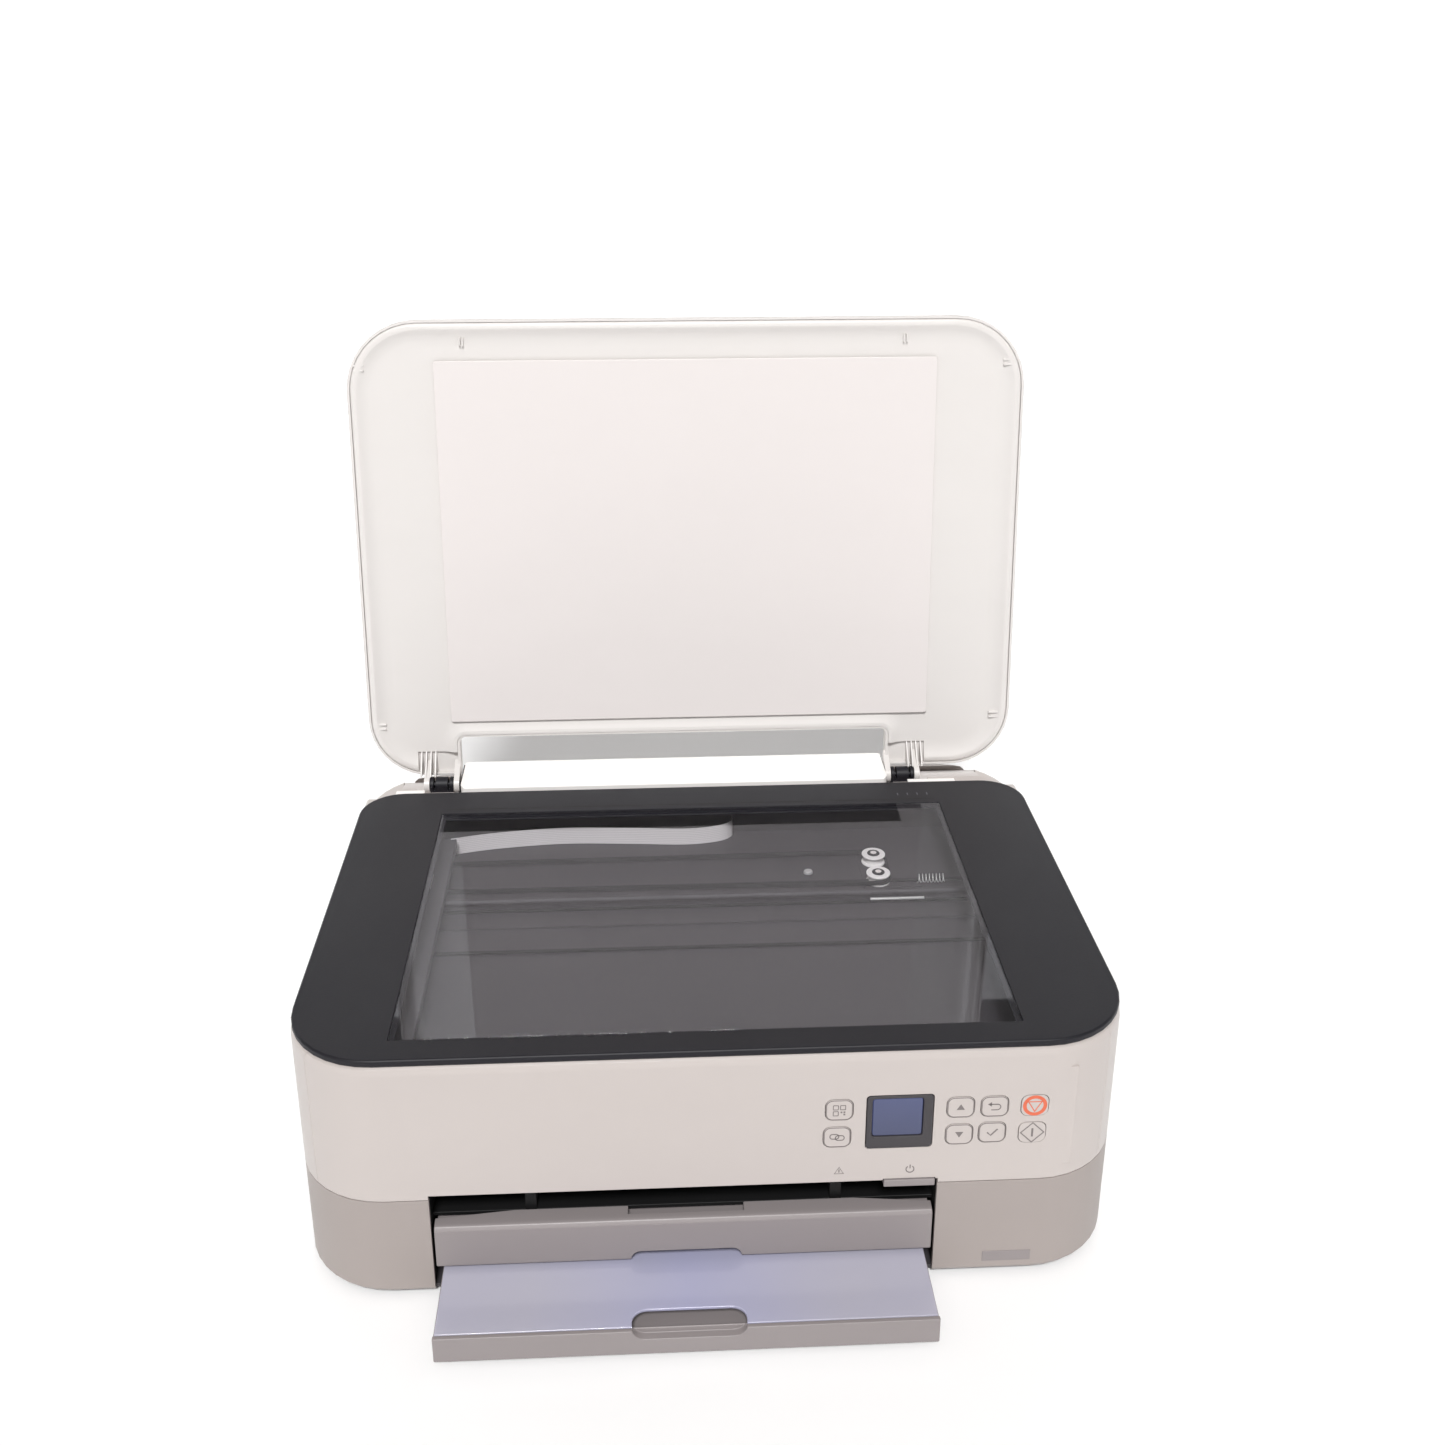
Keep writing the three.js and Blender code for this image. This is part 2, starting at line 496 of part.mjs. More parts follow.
function ribbonCable() {
  const route = new THREE.CatmullRomCurve3(
    [[-147, 233], [-120, 239], [-80, 243], [-40, 241], [-6, 238.5], [14, 241.5], [22, 247], [23, 252.6]]
      .map(([x, y]) => new THREE.Vector3(x, y, 116)));
  const section = new THREE.Shape([[-5.4, -0.25], [5.4, -0.25], [5.4, 0.25], [-5.4, 0.25]]
    .map((p) => new THREE.Vector2(...p)));
  const flat = { extrudePath: route, steps: 40, bevelEnabled: false };
  return node('ribbon_cable', 'tray', solid(new THREE.ExtrudeGeometry(section, flat)));
}

// ---- lid and its hinges ----------------------------------------------------------------------
function hingeArms() {
  const profile = [[277, 110], [285, 110], ...arc(LID_AXIS.y, LID_AXIS.z, 4.7, -30, 210, 12)];
  return Object.entries(ARMS).map(([side, x]) => {
    const slits = [-1, 1].map((turn) => box(x + turn * 4.4 - 0.7, x + turn * 4.4 + 0.7, 270, 290, 131, 140));
    const leg = cut(alongX(profile, x - ARM_WIDTH / 2, x + ARM_WIDTH / 2), ...slits);
    const pin = rod('x', x - PIN_REACH, x + PIN_REACH, [LID_AXIS.y, LID_AXIS.z], 1.6, 16);
    return node(`hinge_arm_${side}`, 'black', leg.add(pin));
  });
}

function notchBlock(grow) {
  const area = { x0: NOTCH.x0 - grow, x1: NOTCH.x1 + grow, y0: NOTCH.y0 - grow, y1: 300 };
  return plate(area, NOTCH_RADIUS + grow, 1, [[0, 100], [0, 160]], 6);
}

function lidPieces() {
  const { half, front, rear, radius, rearRadius, under, top } = LID;
  const area = { x0: -half, x1: half, y0: front, y1: rear };
  const layer = (profile) => plate(area, radius, rearRadius, profile, 9);
  const skin = layer([[0.4, under + 0.8], [0, under + 1.6], [0, 143.4], [1.4, 146.4], [4.4, top]]);
  const hollow = layer([[1.6, 100], [1.6, 145.6]]).subtract(notchBlock(1.6));
  const lugProfile = [[268, 142.2], ...arc(LID_AXIS.y, LID_AXIS.z, 5, 190, 350, 10), [277, 142.2]];
  const lugs = Object.values(ARMS).flatMap((x) => [-1, 1].map((side) => {
    const inner = x + side * (ARM_WIDTH / 2 + 0.5);
    const outer = inner + side * 3.4;
    return alongX(lugProfile, Math.min(inner, outer), Math.max(inner, outer));
  }));
  const holes = rod('x', -200, 200, [LID_AXIS.y, LID_AXIS.z], 2, 16);
  const cover = join(cut(skin, hollow, notchBlock(0)), ...lugs.map((lug) => lug.subtract(holes)));
  const dish = layer([[6, 100], [6, 142.6]]).subtract(notchBlock(6));
  const lugRoom = Object.values(ARMS).map((x) => box(x - 15, x + 15, 262, 290, 100, 142.6));
  const liner = cut(layer([[1.9, under], [1.9, 145.2]]), notchBlock(1.9), dish, ...lugRoom);
  const pad = box(PAD.x0, PAD.x1, PAD.y0, PAD.y1, PAD.under, PAD.top);
  return [
    node('lid_cover', 'white', cover),
    node('lid_liner', 'white', liner),
    node('document_pad', 'foam', pad),
  ];
}

function openLid() {
  const swing = new THREE.Group();
  swing.position.set(0, LID_AXIS.y, LID_AXIS.z);
  swing.rotation.x = THREE.MathUtils.degToRad(LID_ANGLE);
  const closed = new THREE.Group();
  closed.position.set(0, -LID_AXIS.y, -LID_AXIS.z);
  closed.add(...lidPieces());
  swing.add(closed);
  return swing;
}

// ---- the whole printer -----------------------------------------------------------------------
const printer = new THREE.Group();
printer.name = 'inkjet_printer';
printer.add(
  ...feet(), basePan(), lowerHousing(), rearCover(), trayFrame(), rearTrayFrame(), rearTrayCover(),
  ...paperGuides(), ...printMechanism(), powerInlet(), ...printCarriage(), ...cassette(), outputTray(),
  upperHousing(), ...sideGrips(), controlPanel(), ...keys(), ...display(), ...scannerTop(), scannerCase(),
  ...scanDrive(), ...scanCarriage(), ribbonCable(), ...hingeArms(), openLid(),
);
printer.position.y = -ORIGIN_Y;

export default printer;
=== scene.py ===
"""All-in-one inkjet printer with its lid open: the visible pieces and finishes around the frame."""
import json
import math

import bmesh
import bpy
from mathutils import Matrix, Vector


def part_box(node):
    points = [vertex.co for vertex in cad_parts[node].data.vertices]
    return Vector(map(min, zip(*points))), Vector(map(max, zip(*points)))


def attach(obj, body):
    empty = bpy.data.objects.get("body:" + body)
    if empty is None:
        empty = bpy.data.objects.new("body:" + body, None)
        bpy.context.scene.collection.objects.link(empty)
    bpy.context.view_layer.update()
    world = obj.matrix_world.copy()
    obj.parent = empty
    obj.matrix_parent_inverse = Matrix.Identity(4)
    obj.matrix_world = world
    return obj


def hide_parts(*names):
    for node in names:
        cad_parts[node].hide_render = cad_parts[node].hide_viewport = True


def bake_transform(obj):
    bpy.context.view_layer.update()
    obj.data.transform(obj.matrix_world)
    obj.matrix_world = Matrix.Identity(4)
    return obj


bl_info = {
    "name": "Inkjet Printer Pieces",
    "version": (1, 0, 0),
    "blender": (4, 5, 0),
    "location": "3D View > Sidebar > Printer",
    "description": "Builds the shells, glass, lid, keys, trays and mechanism of an inkjet printer",
    "category": "Object",
}

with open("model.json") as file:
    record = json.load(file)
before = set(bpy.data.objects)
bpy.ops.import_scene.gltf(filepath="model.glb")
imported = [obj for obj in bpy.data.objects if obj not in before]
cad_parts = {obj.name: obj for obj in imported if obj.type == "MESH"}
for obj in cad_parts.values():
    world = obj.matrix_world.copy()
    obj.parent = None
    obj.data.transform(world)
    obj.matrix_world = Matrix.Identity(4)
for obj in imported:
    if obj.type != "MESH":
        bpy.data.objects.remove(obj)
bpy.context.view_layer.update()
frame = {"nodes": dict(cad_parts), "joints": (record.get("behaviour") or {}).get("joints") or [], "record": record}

RECORD = frame["record"]
NODE_BODY = {node: body for body, nodes in RECORD["behaviour"]["bodies"].items() for node in nodes}
NODE_SLOT = {row["node"]: row["material_slot"] for row in RECORD["subparts"]}
JOINTS = {joint["name"]: joint for joint in frame["joints"]}
MM = 0.001
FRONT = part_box("lower_housing")[0].y
GLASS_LOW, GLASS_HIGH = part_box("platen_glass")
BEZEL_LOW, BEZEL_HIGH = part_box("scanner_frame")


def spot(x, y, z):
    """A place in millimetres from the middle of the front face, on the table."""
    return Vector((x * MM, FRONT + y * MM, z * MM))


LID_AXIS = Vector(JOINTS["lid_hinge"]["pos_m"])
LID_TURN = math.radians(JOINTS["lid_hinge"]["range_deg"][1])
LID_OPEN = (
    Matrix.Translation(LID_AXIS) @ Matrix.Rotation(-LID_TURN, 4, "X") @ Matrix.Translation(-LID_AXIS)
)


def linear(red, green, blue):
    """A display colour of 0 to 255 steps as the linear values a shader takes."""
    def channel(value):
        value /= 255
        return value / 12.92 if value <= 0.04045 else ((value + 0.055) / 1.055) ** 2.4

    return (channel(red), channel(green), channel(blue))


# ---- settings a user can change ----------------------------------------------------------------
def size(label, text, default):
    return bpy.props.FloatProperty(
        name=label, description=text, default=default, min=0.0, precision=5, unit="LENGTH")


def colour(label, text, *rgb):
    return bpy.props.FloatVectorProperty(
        name=label, description=text, default=linear(*rgb), size=3, min=0.0, max=1.0, subtype="COLOR")


class PrinterSizes(bpy.types.PropertyGroup):
    """Widths of rounded edges, printed lines and small parts."""

    shell_round: size("Shell edge", "Rounding on the edges of the outer shells", 0.0007)
    part_round: size("Part edge", "Rounding on the edges of small parts", 0.0003)
    print_width: size("Line width", "Width of the lines printed on the keys", 0.00055)
    print_relief: size("Ink height", "How far the ink stands above the plastic", 0.00006)
    wire: size("Spring wire", "Diameter of the spring wire", 0.0006)
    ribbon: size("Ribbon thickness", "Thickness of the flat cable", 0.0004)


class PrinterColours(bpy.types.PropertyGroup):
    """Base colours of the finishes."""

    white: colour("White shell", "Rear tray cover and small white parts", 246, 243, 240)
    # Painted shade: the lining and panel tones are darker copies of the same white plastic, for upright faces that
    # catch less light from above.
    lining: colour("Lid lining", "Lid, its lining and its ribs", 217, 213, 210)
    panel: colour("Panel", "Control panel, keys, side walls and rear cover", 189, 181, 177)
    grey: colour("Grey shell", "Lower housing", 157, 148, 144)
    tray: colour("Tray", "Output tray and paper cassette", 140, 133, 133)
    black: colour("Black plastic", "Scanner frame, hinges and carriage", 26, 25, 31)
    dark: colour("Dark plastic", "Scanner bed and chassis parts", 60, 57, 60)
    smoke: colour("Cassette cover", "Bluish cover of the paper cassette", 180, 178, 190)
    ink: colour("Printed lines", "Outlines and symbols on the panel", 120, 113, 112)
    stop: colour("Stop symbol", "Orange symbol of the stop key", 214, 104, 74)
    lit: colour("Display", "Lit area of the display", 72, 80, 124)


# ---- shader and geometry trees -----------------------------------------------------------------
class Signal:
    """A number in a node tree: arithmetic on it adds Math nodes."""

    def __init__(self, tree, socket):
        self.tree = tree
        self.socket = socket

    def math(self, operation, *values):
        return self.tree.node("ShaderNodeMath", {"operation": operation}, dict(enumerate(values)))

    def __add__(self, other):
        return self.math("ADD", self, other)

    def __sub__(self, other):
        return self.math("SUBTRACT", self, other)

    def __rsub__(self, other):
        return self.math("SUBTRACT", other, self)

    def __mul__(self, other):
        return self.math("MULTIPLY", self, other)

    def __truediv__(self, other):
        return self.math("DIVIDE", self, other)

    __radd__ = __add__
    __rmul__ = __mul__

    def clipped(self):
        return self.math("MAXIMUM", self.math("MINIMUM", self, 1.0), 0.0)


class Tree:
    """Adds nodes to a node tree, each from its type, its settings and its values or links."""

    def __init__(self, nodes):
        self.tree = nodes

    def node(self, kind, settings=None, inputs=None, output=0):
        made = self.tree.nodes.new(kind)
        for key, value in (settings or {}).items():
            setattr(made, key, value)
        for key, value in (inputs or {}).items():
            self.feed(made.inputs[key], value)
        return Signal(self, made.outputs[output])

    def feed(self, socket, value):
        if isinstance(value, Signal):
            self.tree.links.new(value.socket, socket)
        else:
            socket.default_value = value


class Finish(Tree):
    """A material with one main surface shader."""

    def __init__(self, name, base, roughness, **fixed):
        self.material = bpy.data.materials.new(f"{name}_finish")
        self.material.use_nodes = True
        super().__init__(self.material.node_tree)
        self.surface = self.tree.nodes["Principled BSDF"]
        self.place = self.node("ShaderNodeTexCoord", output="Object")
        self.base = (*base, 1.0)
        self.put("Base Color", self.base)
        self.put("Roughness", roughness)
        for key, value in fixed.items():
            self.put(key.replace("_", " ").title().replace("Ior", "IOR"), value)

    def put(self, name, value):
        self.feed(self.surface.inputs[name], value)

    def noise(self, scale, detail=2.0, stretch=None):
        where = self.place
        if stretch is not None:
            where = self.node("ShaderNodeMapping", inputs={"Vector": where, "Scale": stretch})
        return self.node("ShaderNodeTexNoise", inputs={"Vector": where, "Scale": scale, "Detail": detail})

    def axis(self, index):
        return self.node("ShaderNodeSeparateXYZ", inputs={"Vector": self.place}, output=index)

    def shade(self, amount, low, high):
        """The base colour, from low to high times its brightness as amount goes from 0 to 1."""
        return self.mix(amount, [c * low for c in self.base[:3]], [c * high for c in self.base[:3]])

    def mix(self, amount, first, second):
        def full(value):
            return value if isinstance(value, Signal) else (*value[:3], 1.0)

        made = self.tree.nodes.new("ShaderNodeMix")
        made.data_type = "RGBA"
        inputs = [s for s in made.inputs if s.enabled]
        for socket, value in zip(inputs, (amount, full(first), full(second))):
            self.feed(socket, value)
        return Signal(self, next(s for s in made.outputs if s.enabled))

    def relief(self, height, strength, depth):
        bump = self.node("ShaderNodeBump", inputs={"Height": height, "Strength": strength, "Distance": depth})
        self.put("Normal", bump)


def step_up(signal, level, width=0.0008):
    """0 below a level and 1 above it, with a short slope between."""
    return ((signal - level) / width + 0.5).clipped()


def moulded(name, base, roughness, grain=1400.0, strength=0.12, mottle=0.02, **fixed):
    """Moulded plastic: a fine even grain, faint flow marks and a gloss that varies a little."""
    finish = Finish(name, base, roughness, **fixed)
    fine = finish.noise(grain, 3.0)
    flow = finish.noise(14.0, 4.0, stretch=(1.0, 1.0, 2.5))
    finish.put("Base Color", finish.shade(flow, 1 - mottle, 1 + mottle))
    finish.put("Roughness", roughness + (flow - 0.5) * 0.10 + (fine - 0.5) * 0.08)
    finish.relief(fine, strength, 0.00012)
    return finish


SATIN = {"roughness": 0.38, "coat_weight": 0.12, "coat_roughness": 0.25}
SILKY = {"roughness": 0.34, "strength": 0.06, "coat_weight": 0.18, "coat_roughness": 0.2}


def white_shell(tones):
    return moulded("white_shell", tones.white, **SATIN)


# Painted shade: the lid and panel finishes take the darker copies of the white plastic.
def lid_shell(tones):
    return moulded("lid_shell", tones.lining, **SATIN)


def panel_shell(tones):
    return moulded("panel_shell", tones.panel, **SILKY)


def grey_shell(tones):
    return moulded("grey_shell", tones.grey, 0.42, strength=0.14)


def tray_plastic(tones):
    return moulded("tray_plastic", tones.tray, 0.4, grain=900.0, strength=0.16)


def black_frame(tones):
    return moulded(
        "black_frame", tones.black, 0.5, grain=1100.0, strength=0.3, mottle=0.06, specular_ior_level=0.3)


def dark_plastic(tones):
    return moulded("dark_plastic", tones.dark, 0.55, grain=1100.0, strength=0.06, mottle=0.05)


def chassis_black(tones):
    return moulded("chassis_black", linear(14, 14, 15), 0.6, grain=1100.0, strength=0.1, mottle=0.05)


def rubber(tones):
    return moulded("rubber", linear(30, 30, 31), 0.85, grain=700.0, strength=0.4, mottle=0.15)


# Painted shade: the keys take the panel's darker copy of the white plastic.
def orange_key(tones):
    return moulded("orange_key", tones.panel, **SILKY)


# Painted shade: the pad is white, and this darker tone stands in for the shade on its upright face.
def foam_pad(tones):
    return moulded("foam_pad", linear(220, 214, 212), 0.55, grain=500.0, strength=0.1, mottle=0.012)


def foam_core(tones):
    return moulded("foam_core", linear(200, 196, 193), 0.95, grain=380.0, strength=0.8, mottle=0.08)


def steel(tones):
    """Zinc plated sheet: brushed along its length with small spangles."""
    finish = Finish("steel", linear(170, 171, 174), 0.32, metallic=1.0)
    brush = finish.noise(900.0, 2.0, stretch=(0.03, 1.0, 1.0))
    spangle = finish.node("ShaderNodeTexVoronoi", inputs={"Vector": finish.place, "Scale": 260.0})
    finish.put("Base Color", finish.shade(brush * 0.6 + spangle * 0.4, 0.82, 1.08))
    finish.put("Roughness", 0.24 + brush * 0.16)
    finish.relief(brush, 0.15, 0.00008)
    return finish


def bright_steel(tones):
    """Bare bright wire and screw heads."""
    finish = Finish("bright_steel", linear(232, 232, 230), 0.3, metallic=0.6)
    finish.put("Base Color", finish.shade(finish.noise(900.0), 0.9, 1.05))
    return finish


def board(tones):
    """Circuit board lacquer with fine copper tracks showing through."""
    finish = Finish("board", linear(28, 92, 58), 0.35, coat_weight=0.4, coat_roughness=0.1)
    tracks = finish.node(
        "ShaderNodeTexBrick", {"offset": 0.5},
        {"Vector": finish.place, "Scale": 90.0, "Mortar Size": 0.03}, output="Fac")
    finish.put("Base Color", finish.mix(tracks, finish.base, linear(58, 130, 76)))
    finish.relief(tracks, 0.3, 0.0001)
    return finish


def ink_blue(tones):
    return moulded("ink_blue", linear(42, 98, 150), 0.35)


def ribbon_film(tones):
    """Flat cable: pale film with fine conductors along it."""
    finish = Finish("ribbon_film", linear(238, 234, 233), 0.3, coat_weight=0.3, coat_roughness=0.15)
    wave = finish.node(
        "ShaderNodeTexWave", {"bands_direction": "Z"}, {"Vector": finish.place, "Scale": 260.0})
    finish.put("Base Color", finish.shade(wave, 0.84, 1.04))
    finish.relief(wave, 0.3, 0.0001)
    return finish


def smoke_cover(tones):
    """Milky bluish plastic, deeper in the middle where the tray under it shows through."""
    finish = Finish("smoke_cover", tones.smoke, 0.22, coat_weight=0.4, coat_roughness=0.08)
    low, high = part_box("cassette_cover")
    across = finish.axis("X") - (low.x + high.x) / 2
    middle = (1.0 - finish.node("ShaderNodeMath", {"operation": "ABSOLUTE"}, {0: across}) / 0.075).clipped()
    cloud = finish.noise(22.0, 3.0)
    amount = (middle * 0.6 + cloud * 0.25).clipped()
    finish.put("Base Color", finish.mix(amount, tones.smoke, linear(168, 169, 202)))
    finish.put("Roughness", 0.18 + cloud * 0.12)
    finish.relief(finish.noise(700.0), 0.05, 0.0001)
    return finish


def screen(tones):
    """Lit display behind a clear window, a little brighter towards its top."""
    finish = Finish(
        "screen", linear(24, 27, 38), 0.08, coat_weight=0.6, coat_roughness=0.03, emission_strength=1.0)
    low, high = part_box("display_screen")
    rise = ((finish.axis("Z") - low.z) / (high.z - low.z)).clipped()
    soft = finish.noise(60.0, 2.0)
    amount = (rise * 0.7 + soft * 0.3).clipped()
    dim, bright = ([c * level for c in tones.lit] for level in (0.55, 0.95))
    finish.put("Emission Color", finish.mix(amount, dim, bright))
    return finish


def platen_glass(tones):
    """Clear glass: what lies under it shows through, it mirrors at low angles, and less so in a rear band, where
    the dimmed mirror is painted shade.
    """
    finish = Finish("platen_glass", (0.02, 0.02, 0.022), 0.02)
    smear = finish.noise(18.0, 5.0)
    clear = finish.node("ShaderNodeBsdfTransparent", inputs={"Color": (0.93, 0.93, 0.94, 1.0)})
    mirror = finish.node("ShaderNodeBsdfGlossy", inputs={"Roughness": 0.02, "Color": (0.95, 0.95, 1.0, 1.0)})
    edge = finish.node("ShaderNodeFresnel", inputs={"IOR": 1.58})
    inside = finish.node("ShaderNodeNewGeometry", output="Backfacing")
    right, back = finish.axis("X"), finish.axis("Y")
    # Painted shade: the mirror is dimmed in a rear band of the glass, near the hinges.
    near, far = spot(-150, 212, 0), spot(121, 0, 0)
    band = step_up(right, near.x) * (1.0 - step_up(right, far.x)) * step_up(back, near.y)
    amount = (edge * (0.95 + smear * 0.1) * (1.0 - inside) * (1.0 - band * 0.8)).clipped()
    mixed = finish.node("ShaderNodeMixShader", inputs={0: amount, 1: clear, 2: mirror})
    finish.feed(finish.tree.nodes["Material Output"].inputs["Surface"], mixed)
    return finish


def printed(name, tone):
    """Screen-printed ink."""
    finish = Finish(name, tone, 0.5)
    finish.put("Base Color", finish.shade(finish.noise(2500.0), 0.92, 1.06))
    return finish


def printed_grey(tones):
    return printed("printed_grey", tones.ink)


def printed_orange(tones):
    return printed("printed_orange", tones.stop)


def printed_dim(tones):
    return printed("printed_dim", linear(84, 83, 90))


def printed_pale(tones):
    return printed("printed_pale", linear(236, 230, 226))


FINISHES = {
    maker.__name__: maker for maker in (
        white_shell, lid_shell, panel_shell, grey_shell, tray_plastic, black_frame, dark_plastic,
        chassis_black, rubber, orange_key, foam_pad, foam_core, steel, bright_steel, board, ink_blue,
        ribbon_film, smoke_cover, screen, platen_glass, printed_grey, printed_orange, printed_dim,
        printed_pale)
}


def finish(name):
    """The material of that name, made the first time it is asked for."""
    made = bpy.data.materials.get(f"{name}_finish")
    return made or FINISHES[name](bpy.context.scene.printer_colours).material


# A slot takes the finish of its own name, unless it is listed here; so does a node after its slot.
SLOT_FINISH = {"foam": "foam_pad", "cyan_ink": "ink_blue", "ribbon": "ribbon_film"}
OWN_FINISH = {
    "upper_housing": "panel_shell", "rear_cover": "panel_shell", "lid_cover": "lid_shell",
    "tray_frame": "chassis_black", "carriage_rail": "chassis_black",
}


# ---- meshes ------------------------------------------------------------------------------------
def as_object(name, bm):
    """A new object at the origin from a bmesh, which is used up."""
    mesh = bpy.data.meshes.new(name)
    bm.to_mesh(mesh)
    bm.free()
    made = bpy.data.objects.new(name, mesh)
    bpy.context.scene.collection.objects.link(made)
    return made


def settle(piece):
    """Applies a piece's modifiers and leaves a plain mesh on it."""
    graph = bpy.context.evaluated_depsgraph_get()
    mesh = bpy.data.meshes.new_from_object(piece.evaluated_get(graph))
    piece.modifiers.clear()
    piece.data = mesh
    mesh.name = piece.name
    return piece


def smoothed(piece):
    """Shades a piece smoothly with its large faces kept flat."""
    piece.data.shade_smooth()
    flats = piece.modifiers.new("flats", "WEIGHTED_NORMAL")
    flats.weight = 100
    return settle(piece)


def rounded(piece, width, segments=2, angle=28.0):
    """Rounds a piece's sharp edges and shades it smoothly."""
    bevel = piece.modifiers.new("edges", "BEVEL")
    bevel.limit_method = "ANGLE"
    bevel.angle_limit = math.radians(angle)
    bevel.width = width
    bevel.segments = segments
    bevel.use_clamp_overlap = True
    return smoothed(piece)


def merged(node):
    """A bmesh of a frame node, with its corners shared and its flat faces whole."""
    bm = bmesh.new()
    bm.from_mesh(frame["nodes"][node].data)
    bmesh.ops.remove_doubles(bm, verts=bm.verts, dist=1e-6)
    bmesh.ops.dissolve_limit(bm, angle_limit=math.radians(0.3), verts=bm.verts, edges=bm.edges)
    return bm


def complete(piece, body, look, replaces=()):
    """Gives a piece its one material and fixes it to its body."""
    piece.data.materials.clear()
    piece.data.materials.append(finish(look))
    for face in piece.data.polygons:
        face.material_index = 0
    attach(piece, body)
    if replaces:
        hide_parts(*replaces)


def refine(node, width, segments=2):
    """A node's own shape with rounded edges and a finished material, in the node's place."""
    piece = rounded(as_object(f"{node}_skin", merged(node)), width, segments)
    slot = NODE_SLOT[node]
    look = OWN_FINISH.get(node) or SLOT_FINISH.get(slot, slot)
    complete(piece, NODE_BODY[node], look, [node])


def added(name, bm, width, body, look):
    """A piece that stands for no node, from a bmesh, with rounded edges."""
    complete(rounded(as_object(name, bm), width), body, look)


def refine_all(nodes, width):
    for node in nodes:
        refine(node, width)


def outline(low, high, front, rear, inset=0.0, steps=14):
    """A rounded rectangle in plan, counterclockwise, with one corner radius in front and one behind."""
    f, r = max(front - inset, 0.0004), max(rear - inset, 0.0004)
    x0, x1, y0, y1 = low.x + inset, high.x - inset, low.y + inset, high.y - inset
    corners = [(x1 - f, y0 + f, f, -90), (x1 - r, y1 - r, r, 0),
               (x0 + r, y1 - r, r, 90), (x0 + f, y0 + f, f, 180)]
    points = []
    for x, y, radius, start in corners:
        for step in range(steps + 1):
            turn = math.radians(start + 90 * step / steps)
            points.append((x + radius * math.cos(turn), y + radius * math.sin(turn)))
    return points


def band(bm, lower, upper):
    """Faces between two rings of corners of equal length."""
    for i in range(len(lower)):
        j = (i + 1) % len(lower)
        bm.faces.new((lower[i], lower[j], upper[j], upper[i]))


def hoop(bm, rings):
    """A closed loop of material, from rings of places in order round its section."""
    rows = [[bm.verts.new(point) for point in ring] for ring in rings]
    for near, far in zip(rows, rows[1:] + rows[:1]):
        band(bm, near, far)


def rings_to_mesh(rings):
    """A solid through rings of equal length, with a flat face on each end."""
    bm = bmesh.new()
    rows = [[bm.verts.new(point) for point in ring] for ring in rings]
    for lower, upper in zip(rows, rows[1:]):
        band(bm, lower, upper)
    bm.faces.new(reversed(rows[0]))
    bm.faces.new(rows[-1])
    bmesh.ops.recalc_face_normals(bm, faces=bm.faces)
    return bm


def smooth_route(points, steps):
    """A Catmull-Rom line through points, with a few steps between each two."""
    line = []
    for i in range(len(points) - 1):
        p0, p1 = points[max(i - 1, 0)], points[i]
        p2, p3 = points[i + 1], points[min(i + 2, len(points) - 1)]
        for step in range(steps):
            t = step / steps
            line.append(0.5 * (2 * p1 + (p2 - p0) * t + (2 * p0 - 5 * p1 + 4 * p2 - p3) * t * t
                               + (3 * p1 - p0 - 3 * p2 + p3) * t ** 3))
    return line + [points[-1]]


def stepped_plate(low, high, front, rear, profile, steps=14):
    """A plate with rounded corners whose edge follows (inset, height) steps."""
    return rings_to_mesh([
        [(x, y, z) for x, y in outline(low, high, front, rear, inset, steps)] for inset, z in profile])


def bmesh_of(piece):
    bm = bmesh.new()
    bm.from_mesh(piece.data)
    return bm


def box_mesh(low, high):
    """A box between two corners."""
    bm = bmesh.new()
    middle, span = (Vector(low) + Vector(high)) / 2, Vector(high) - Vector(low)
    place = Matrix.Translation(middle) @ Matrix.Diagonal((*span, 1.0))
    bmesh.ops.create_cube(bm, size=1.0, matrix=place)
    return bm


def roller_mesh(centre, radius, length):
    """A cylinder that lies along Y."""
    bm = bmesh.new()
    place = Matrix.Translation(centre) @ Matrix.Rotation(math.pi / 2, 4, "X")
    bmesh.ops.create_cone(
        bm, cap_ends=True, segments=32, radius1=radius, radius2=radius, depth=length, matrix=place)
    return bm


def cut_out(piece, tool_bm):
    """Cuts a closed tool shape out of a piece."""
    tool = as_object("cutter", tool_bm)
    cutting = piece.modifiers.new("cut", "BOOLEAN")
    cutting.operation = "DIFFERENCE"
    cutting.solver = "EXACT"
    cutting.object = tool
    settle(piece)
    bpy.data.objects.remove(tool)


# ---- repeats, made by geometry nodes -----------------------------------------------------------
def geometry_tree(name, inputs):
    """An empty geometry tree with named inputs, its input node and its output node."""
    group = bpy.data.node_groups.new(name, "GeometryNodeTree")
    for label, kind in inputs:
        group.interface.new_socket(label, in_out="INPUT", socket_type=kind)
    group.interface.new_socket("Geometry", in_out="OUTPUT", socket_type="NodeSocketGeometry")
    tree = Tree(group)
    given = group.nodes.new("NodeGroupInput")
    sources = {label: Signal(tree, given.outputs[label]) for label, _ in inputs}
    return group, tree, sources


def finish_tree(group, tree, shape, material):
    real = tree.node("GeometryNodeRealizeInstances", inputs={"Geometry": shape})
    coloured = tree.node("GeometryNodeSetMaterial", inputs={"Geometry": real, "Material": material})
    output = group.nodes.new("NodeGroupOutput")
    tree.feed(output.inputs["Geometry"], coloured)


LINE_INPUTS = [("Count", "NodeSocketInt"), ("Start", "NodeSocketVector"), ("Step", "NodeSocketVector")]


